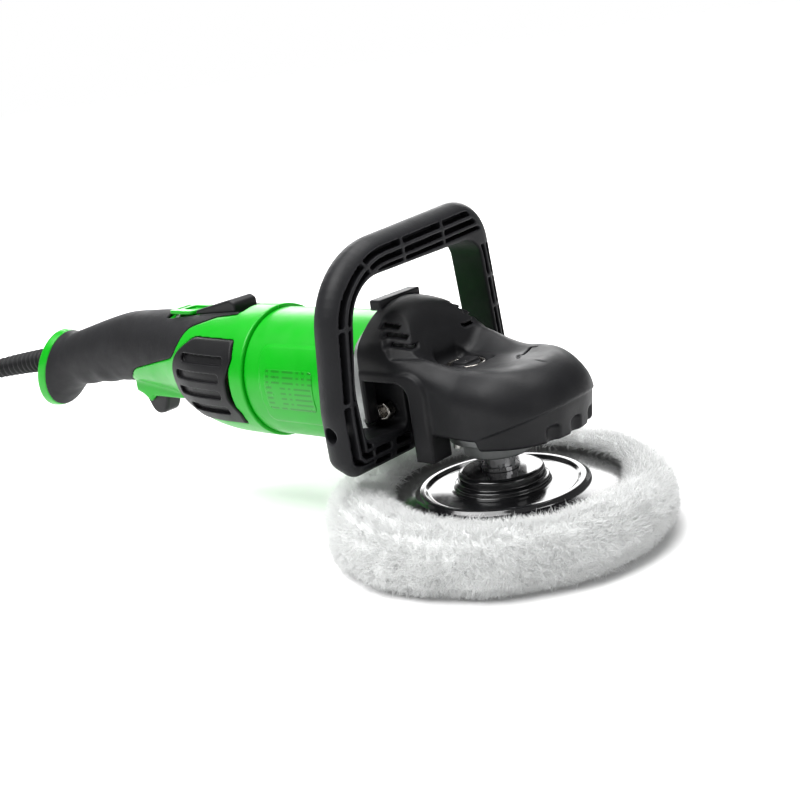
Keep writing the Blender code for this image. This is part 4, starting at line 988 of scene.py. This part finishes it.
def trigger_distance(x, y, z):
    blade = smax(polygon(x, z, TRIGGER_OUTLINE), abs(y) - 6.8, 2.4)
    return carve(blade, disc(x, z, y, (PIVOT_X, PIVOT_Z), 1.8, -12, 12))


def build_switches():
    slide = skin("slide_button", slide_distance, (-280, -12, 112.5), (-191, 12, 141), 0.5)
    place(slide, "slide_switch", "button_plastic", "slide_switch_body")
    bezel = skin("slide_frame", bezel_distance, (-263, -13, 126.5), (-234, 13, 132), 0.4)
    place(bezel, "slide_bezel", "green_shell")
    low, high = (PIVOT_X - 33, -8.5, 48.5), (PIVOT_X + 6, 8.5, 84.5)
    trigger = skin("trigger_blade", trigger_distance, low, high, 0.5)
    place(trigger, "trigger", "button_plastic", "trigger_body")


# ---------- cord

def build_cord():
    """The ribbed strain relief that droops behind the grip."""
    low, high = box_mm("cord_strain_relief")
    front, length = float(high[0]) - 1, float(high[0] - low[0]) - 2.5
    rows, around, ribs = 260, 40, 21
    points = []
    for row in range(rows):
        share = row / (rows - 1)
        slope_y = -26 * 2.2 * max(share, 1e-4) ** 1.2 / length
        slope_z = (math.pi * math.cos(math.pi * share) - 13) / length
        centre = Vector((front - length * share, -26 * share ** 2.2,
                         CORD_Z + 1.5 + math.sin(math.pi * share) - 13 * share))
        along = Vector((-1, slope_y, slope_z)).normalized()
        across = along.cross(Vector((0, 0, 1))).normalized()
        upward = across.cross(along)
        radius = 9.6 - 3 * share
        wave = math.cos(2 * math.pi * ribs * share)
        visible = min(max((share - 0.1) / 0.03, 0), 1) * min(max((0.97 - share) / 0.02, 0), 1)
        radius += visible * 0.75 * (math.copysign(abs(wave) ** 0.6, wave) - 0.4)
        for step in range(around):
            angle = 2 * math.pi * step / around
            points.append(centre + (across * math.cos(angle) + upward * math.sin(angle)) * radius)
    faces = grid_faces(rows, around, lines_close=False)
    faces.append(tuple(range(around)))
    faces.append(tuple(reversed(range((rows - 1) * around, rows * around))))
    relief = mesh_object("strain_relief_ribbed", [tuple(p) for p in points], faces)
    relief.data.set_sharp_from_angle(angle=math.radians(55))
    place(relief, "cord_strain_relief", "cord_rubber")


# ---------- plate and pad

def build_plate():
    low, high = box_mm("backing_plate")
    rim, top = float(high[0]), float(high[2])
    outline = rounded([(7.3, top, 0), (7.3, 26.5, 0), (49, 26.5, 0), (rim, 22.5, 1), (rim, 24.6, 1),
                       (50.6, 30, 4), (48.4, 32.6, 1.4), (45.6, 32.6, 1.4), (43, 30.6, 3),
                       (30.2, 31.2, 1.5), (28, 31.6, 1.2), (28, 34.4, 1.4), (25.4, 35.2, 1),
                       (25.2, 40.4, 2.2), (22.5, top, 0.6)], 6)
    place(revolve("plate_moulding", outline, segments=192), "backing_plate", "plate_gloss", "spindle_body")


# The pad's section, as radius and height, from the middle of its face round to its back
PAD_PROFILE = ((0, 0), (60, 0), (80, 0.2), (88, 2.2), (93.4, 8.5), (95.2, 16), (94.4, 24),
               (90.5, 31), (84.5, 34.6), (78, 34.4), (73.6, 31.6), (73, 28.4), (88.8, 25.4),
               (88.6, 22), (48, 26), (0, 22.2))
# The pile grows between these corners of the section
PILE_FIRST, PILE_LAST = 2, 10
PILE_BATCHES, PILE_COUNT = 6, 11500
# How far tufts and the slack side stand out
LUMP, SWELL = 2.2, 7
SEED = 7


PROFILE_CORNERS = np.array(PAD_PROFILE)
PROFILE_LENGTHS = np.concatenate([[0], np.cumsum(hypot(*np.diff(PROFILE_CORNERS, axis=0).T))])


def on_profile(share):
    """Places on the pad's section, from distances along it."""
    return stack([interp(share, PROFILE_LENGTHS, PROFILE_CORNERS[:, i]) for i in range(2)], 1)


def outward(run):
    """Unit steps along the section, and unit steps out of it."""
    run = run / np.linalg.norm(run, axis=1, keepdims=True)
    return run, stack([run[:, 1], -run[:, 0]], 1)


def wave_noise(angle, height, seed):
    """Smooth repeatable unevenness round the pad."""
    rng = np.random.default_rng(seed)
    total = np.zeros(np.broadcast(angle, height).shape)
    for _ in range(26):
        turns = int(rng.integers(3, 34))
        tilt = rng.uniform(-0.16, 0.16)
        total = total + np.sin(turns * angle + tilt * height + rng.uniform(0, 6.28)) / (turns ** 0.6)
    return total / 3


def pad_lump(angle, share):
    """How far the pile stands out of its even shape: tufts, and a slack swell on one side."""
    turn = (angle - math.radians(225) + math.pi) % (2 * math.pi) - math.pi
    return wave_noise(angle, share * 1.5, SEED) * LUMP + SWELL * np.exp(-(turn / 0.9) ** 2)


def build_pad():
    """A tufted pad: a dense uneven body with a pile of curved fibres standing out of it."""
    samples, around = 150, 420
    shares = np.linspace(0, PROFILE_LENGTHS[-1], samples)
    curve = on_profile(shares)
    angles = np.linspace(0, 2 * math.pi, around, endpoint=False)
    fluffy = (smooth_step(shares, PROFILE_LENGTHS[2] - 6, PROFILE_LENGTHS[3])
              * smooth_step(PROFILE_LENGTHS[11] - shares, 0, 6))[None, :]
    _, normal = outward(np.gradient(curve, axis=0))
    lumps = pad_lump(angles[:, None], shares[None, :]) * fluffy
    radius = curve[None, :, 0] + normal[None, :, 0] * lumps
    height = maximum(curve[None, :, 1] + normal[None, :, 1] * lumps, 0)
    points = stack([radius * np.cos(angles)[:, None], radius * np.sin(angles)[:, None], height], -1)
    points = points[:, 1:-1].reshape(-1, 3)
    rows = samples - 2
    faces = grid_faces(around, rows, places_close=False)
    bottom, top = len(points), len(points) + 1
    points = np.concatenate([points, [[0, 0, 0], [0, 0, curve[-1, 1]]]])
    for step in range(around):
        after = (step + 1) % around
        faces.append((bottom, after * rows, step * rows))
        faces.append((top, step * rows + rows - 1, after * rows + rows - 1))
    place(mesh_object("wool_pad_core", points, faces), "wool_pad", "wool", "spindle_body")
    for batch in range(PILE_BATCHES):
        build_pile(batch)


def build_pile(batch):
    """One batch of fibres: tapered three-sided hairs, gathered loosely into tufts."""
    rng = np.random.default_rng(SEED + 100 + batch)
    count = PILE_COUNT
    share = rng.uniform(PROFILE_LENGTHS[PILE_FIRST] - 10, PROFILE_LENGTHS[PILE_LAST + 1] - 1.0, count)
    angle = rng.uniform(0, 2 * math.pi, count)
    small = 0.8
    here = on_profile(share)
    run, out = outward(on_profile(share + small) - on_profile(share - small))
    lump = pad_lump(angle, share)
    radial = stack([np.cos(angle), np.sin(angle), np.zeros(count)], 1)
    around = stack([-np.sin(angle), np.cos(angle), np.zeros(count)], 1)

    def stood_up(flat):
        return radial * flat[:, :1] + np.array([0, 0, 1]) * flat[:, 1:]

    def scatter(spread):
        return rng.normal(0, spread, (count, 1))

    normal, along = stood_up(out), stood_up(run)
    root = stood_up(here) + normal * (lump[:, None] - 1.2)
    swirl = wave_noise(angle, share * 5, SEED + 5)[:, None]
    drift = wave_noise(angle + 1, share * 4, SEED + 9)[:, None]
    lean = around * (0.45 * swirl + scatter(0.33)) + along * (0.45 * drift + scatter(0.33))
    curl = around * scatter(0.4) + along * scatter(0.4)
    length = rng.uniform(4.2, 7.2, (count, 1))
    length = length * (0.45 + 0.55 * smooth_step(root[:, 2:], 0, 9))
    thick = rng.uniform(0.11, 0.2, (count, 1))
    rings = []
    for step, (reach, width) in enumerate(((0, 1), (0.4, 0.95), (0.75, 0.7))):
        centre = root + (normal * reach + lean * reach + curl * reach ** 2) * length
        for corner in range(3):
            turn = 2 * math.pi * corner / 3
            rings.append(centre + (around * math.cos(turn) + along * math.sin(turn)) * thick * width)
    tip = root + (normal + lean + curl) * length
    points = stack(rings + [tip], 1)
    points[:, :, 2] = maximum(points[:, :, 2], 0.05)
    start = np.arange(count)[:, None] * 10
    quads = np.concatenate([start + np.array([[r + i, r + (i + 1) % 3, r + 3 + (i + 1) % 3, r + 3 + i]])
                            for r in (0, 3) for i in range(3)])
    tips = np.concatenate([start + np.array([[6 + i, 6 + (i + 1) % 3, 9]]) for i in range(3)])
    roots = start + np.array([[2, 1, 0]])
    faces = quads.tolist() + tips.tolist() + roots.tolist()
    place(mesh_object(f"wool_pile_{batch + 1}", points.reshape(-1, 3), faces), None, "wool", "spindle_body")


# ---------- studio

CAMERA_TARGET = Vector((-70.4, 0, 76.4)) * MM
CAMERA_AZIMUTH, CAMERA_ELEVATION, CAMERA_ROLL = 42.4, 15.4, -8.52
CAMERA_DISTANCE = 0.7886
CAMERA_LENS, SENSOR_WIDTH = 58.55, 36
FLOOR_HALF, FLOOR_DROP = 40.0, 0.0003
AMBIENT = 0.21
SUN_STRENGTH = 3.55
LIGHT_AIM = Vector((-0.1, 0, 0.1))
# Soft boxes: name, place, size, power
SOFT_BOXES = (
    ("key_light", (-0.3, -1, 1.2), (0.9, 0.5), 4),
    ("top_light", (-0.1, 0.4, 1.2), (1.2, 0.35), 12),
    ("rim_light", (-0.95, 0.95, 0.55), (1.3, 0.6), 12),
    ("front_light", (1.2, -0.1, 0.6), (0.5, 0.6), 2),
)


def build_camera():
    azimuth, elevation = math.radians(CAMERA_AZIMUTH), math.radians(CAMERA_ELEVATION)
    back = Vector((math.sin(azimuth) * math.cos(elevation), -math.cos(azimuth) * math.cos(elevation),
                   math.sin(elevation)))
    data = bpy.data.cameras.new("studio_camera")
    data.lens, data.sensor_width = CAMERA_LENS, SENSOR_WIDTH
    data.clip_start, data.clip_end = 0.01, 20
    camera = add_object("studio_camera", data)
    camera.rotation_mode = "QUATERNION"
    camera.location = CAMERA_TARGET + back * CAMERA_DISTANCE
    level = (-back).to_track_quat("-Z", "Y")
    camera.rotation_quaternion = level @ Matrix.Rotation(math.radians(CAMERA_ROLL), 4, "Z").to_quaternion()
    bpy.context.scene.camera = camera


def build_floor():
    mesh = bpy.data.meshes.new("studio_floor")
    signs = (-1, -1), (1, -1), (1, 1), (-1, 1)
    mesh.from_pydata([(x * FLOOR_HALF, y * FLOOR_HALF, -FLOOR_DROP) for x, y in signs], [], [(0, 1, 2, 3)])
    n = Nodes()
    n.shade({"Base Color": n.ramp(n.noise(9), 0.4, (0.875, 0.875, 0.875), 0.6, (0.885, 0.885, 0.885)),
             "Roughness": 0.75})
    n.material.name = "studio_floor"
    mesh.materials.append(n.material)
    add_object("studio_floor", mesh)


def build_light():
    """A white backdrop that lights the tool only a little, a broad sun and four soft boxes."""
    world = bpy.data.worlds.new("studio_world")
    world.use_nodes = True
    tree = world.node_tree
    seen = tree.nodes.new("ShaderNodeLightPath").outputs["Is Camera Ray"]
    strength = tree.nodes.new("ShaderNodeMapRange")
    strength.inputs["To Min"].default_value = AMBIENT
    tree.links.new(seen, strength.inputs["Value"])
    tree.links.new(strength.outputs["Result"], tree.nodes["Background"].inputs["Strength"])
    tree.nodes["Background"].inputs["Color"].default_value = (1.0, 1.0, 1.0, 1.0)
    bpy.context.scene.world = world
    sun = bpy.data.lights.new("broad_sun", "SUN")
    sun.energy = SUN_STRENGTH
    sun.angle = math.radians(50)
    add_object("broad_sun", sun).rotation_euler = (math.radians(22), math.radians(-12), 0)
    for name, spot, size, power in SOFT_BOXES:
        data = bpy.data.lights.new(name, "AREA")
        data.shape = "RECTANGLE"
        data.size, data.size_y = size
        data.energy = power
        lamp = add_object(name, data)
        lamp.location = spot
        lamp.rotation_mode = "QUATERNION"
        lamp.rotation_quaternion = (LIGHT_AIM - Vector(spot)).to_track_quat("-Z", "Y")
    bpy.context.scene.view_settings.view_transform = "Standard"


dress_frame_nodes()
build_gear_head()
build_lock()
build_loop_handle()
build_barrel()
build_rear_housing()
build_switches()
build_cord()
build_plate()
build_pad()
build_camera()
build_floor()
build_light()
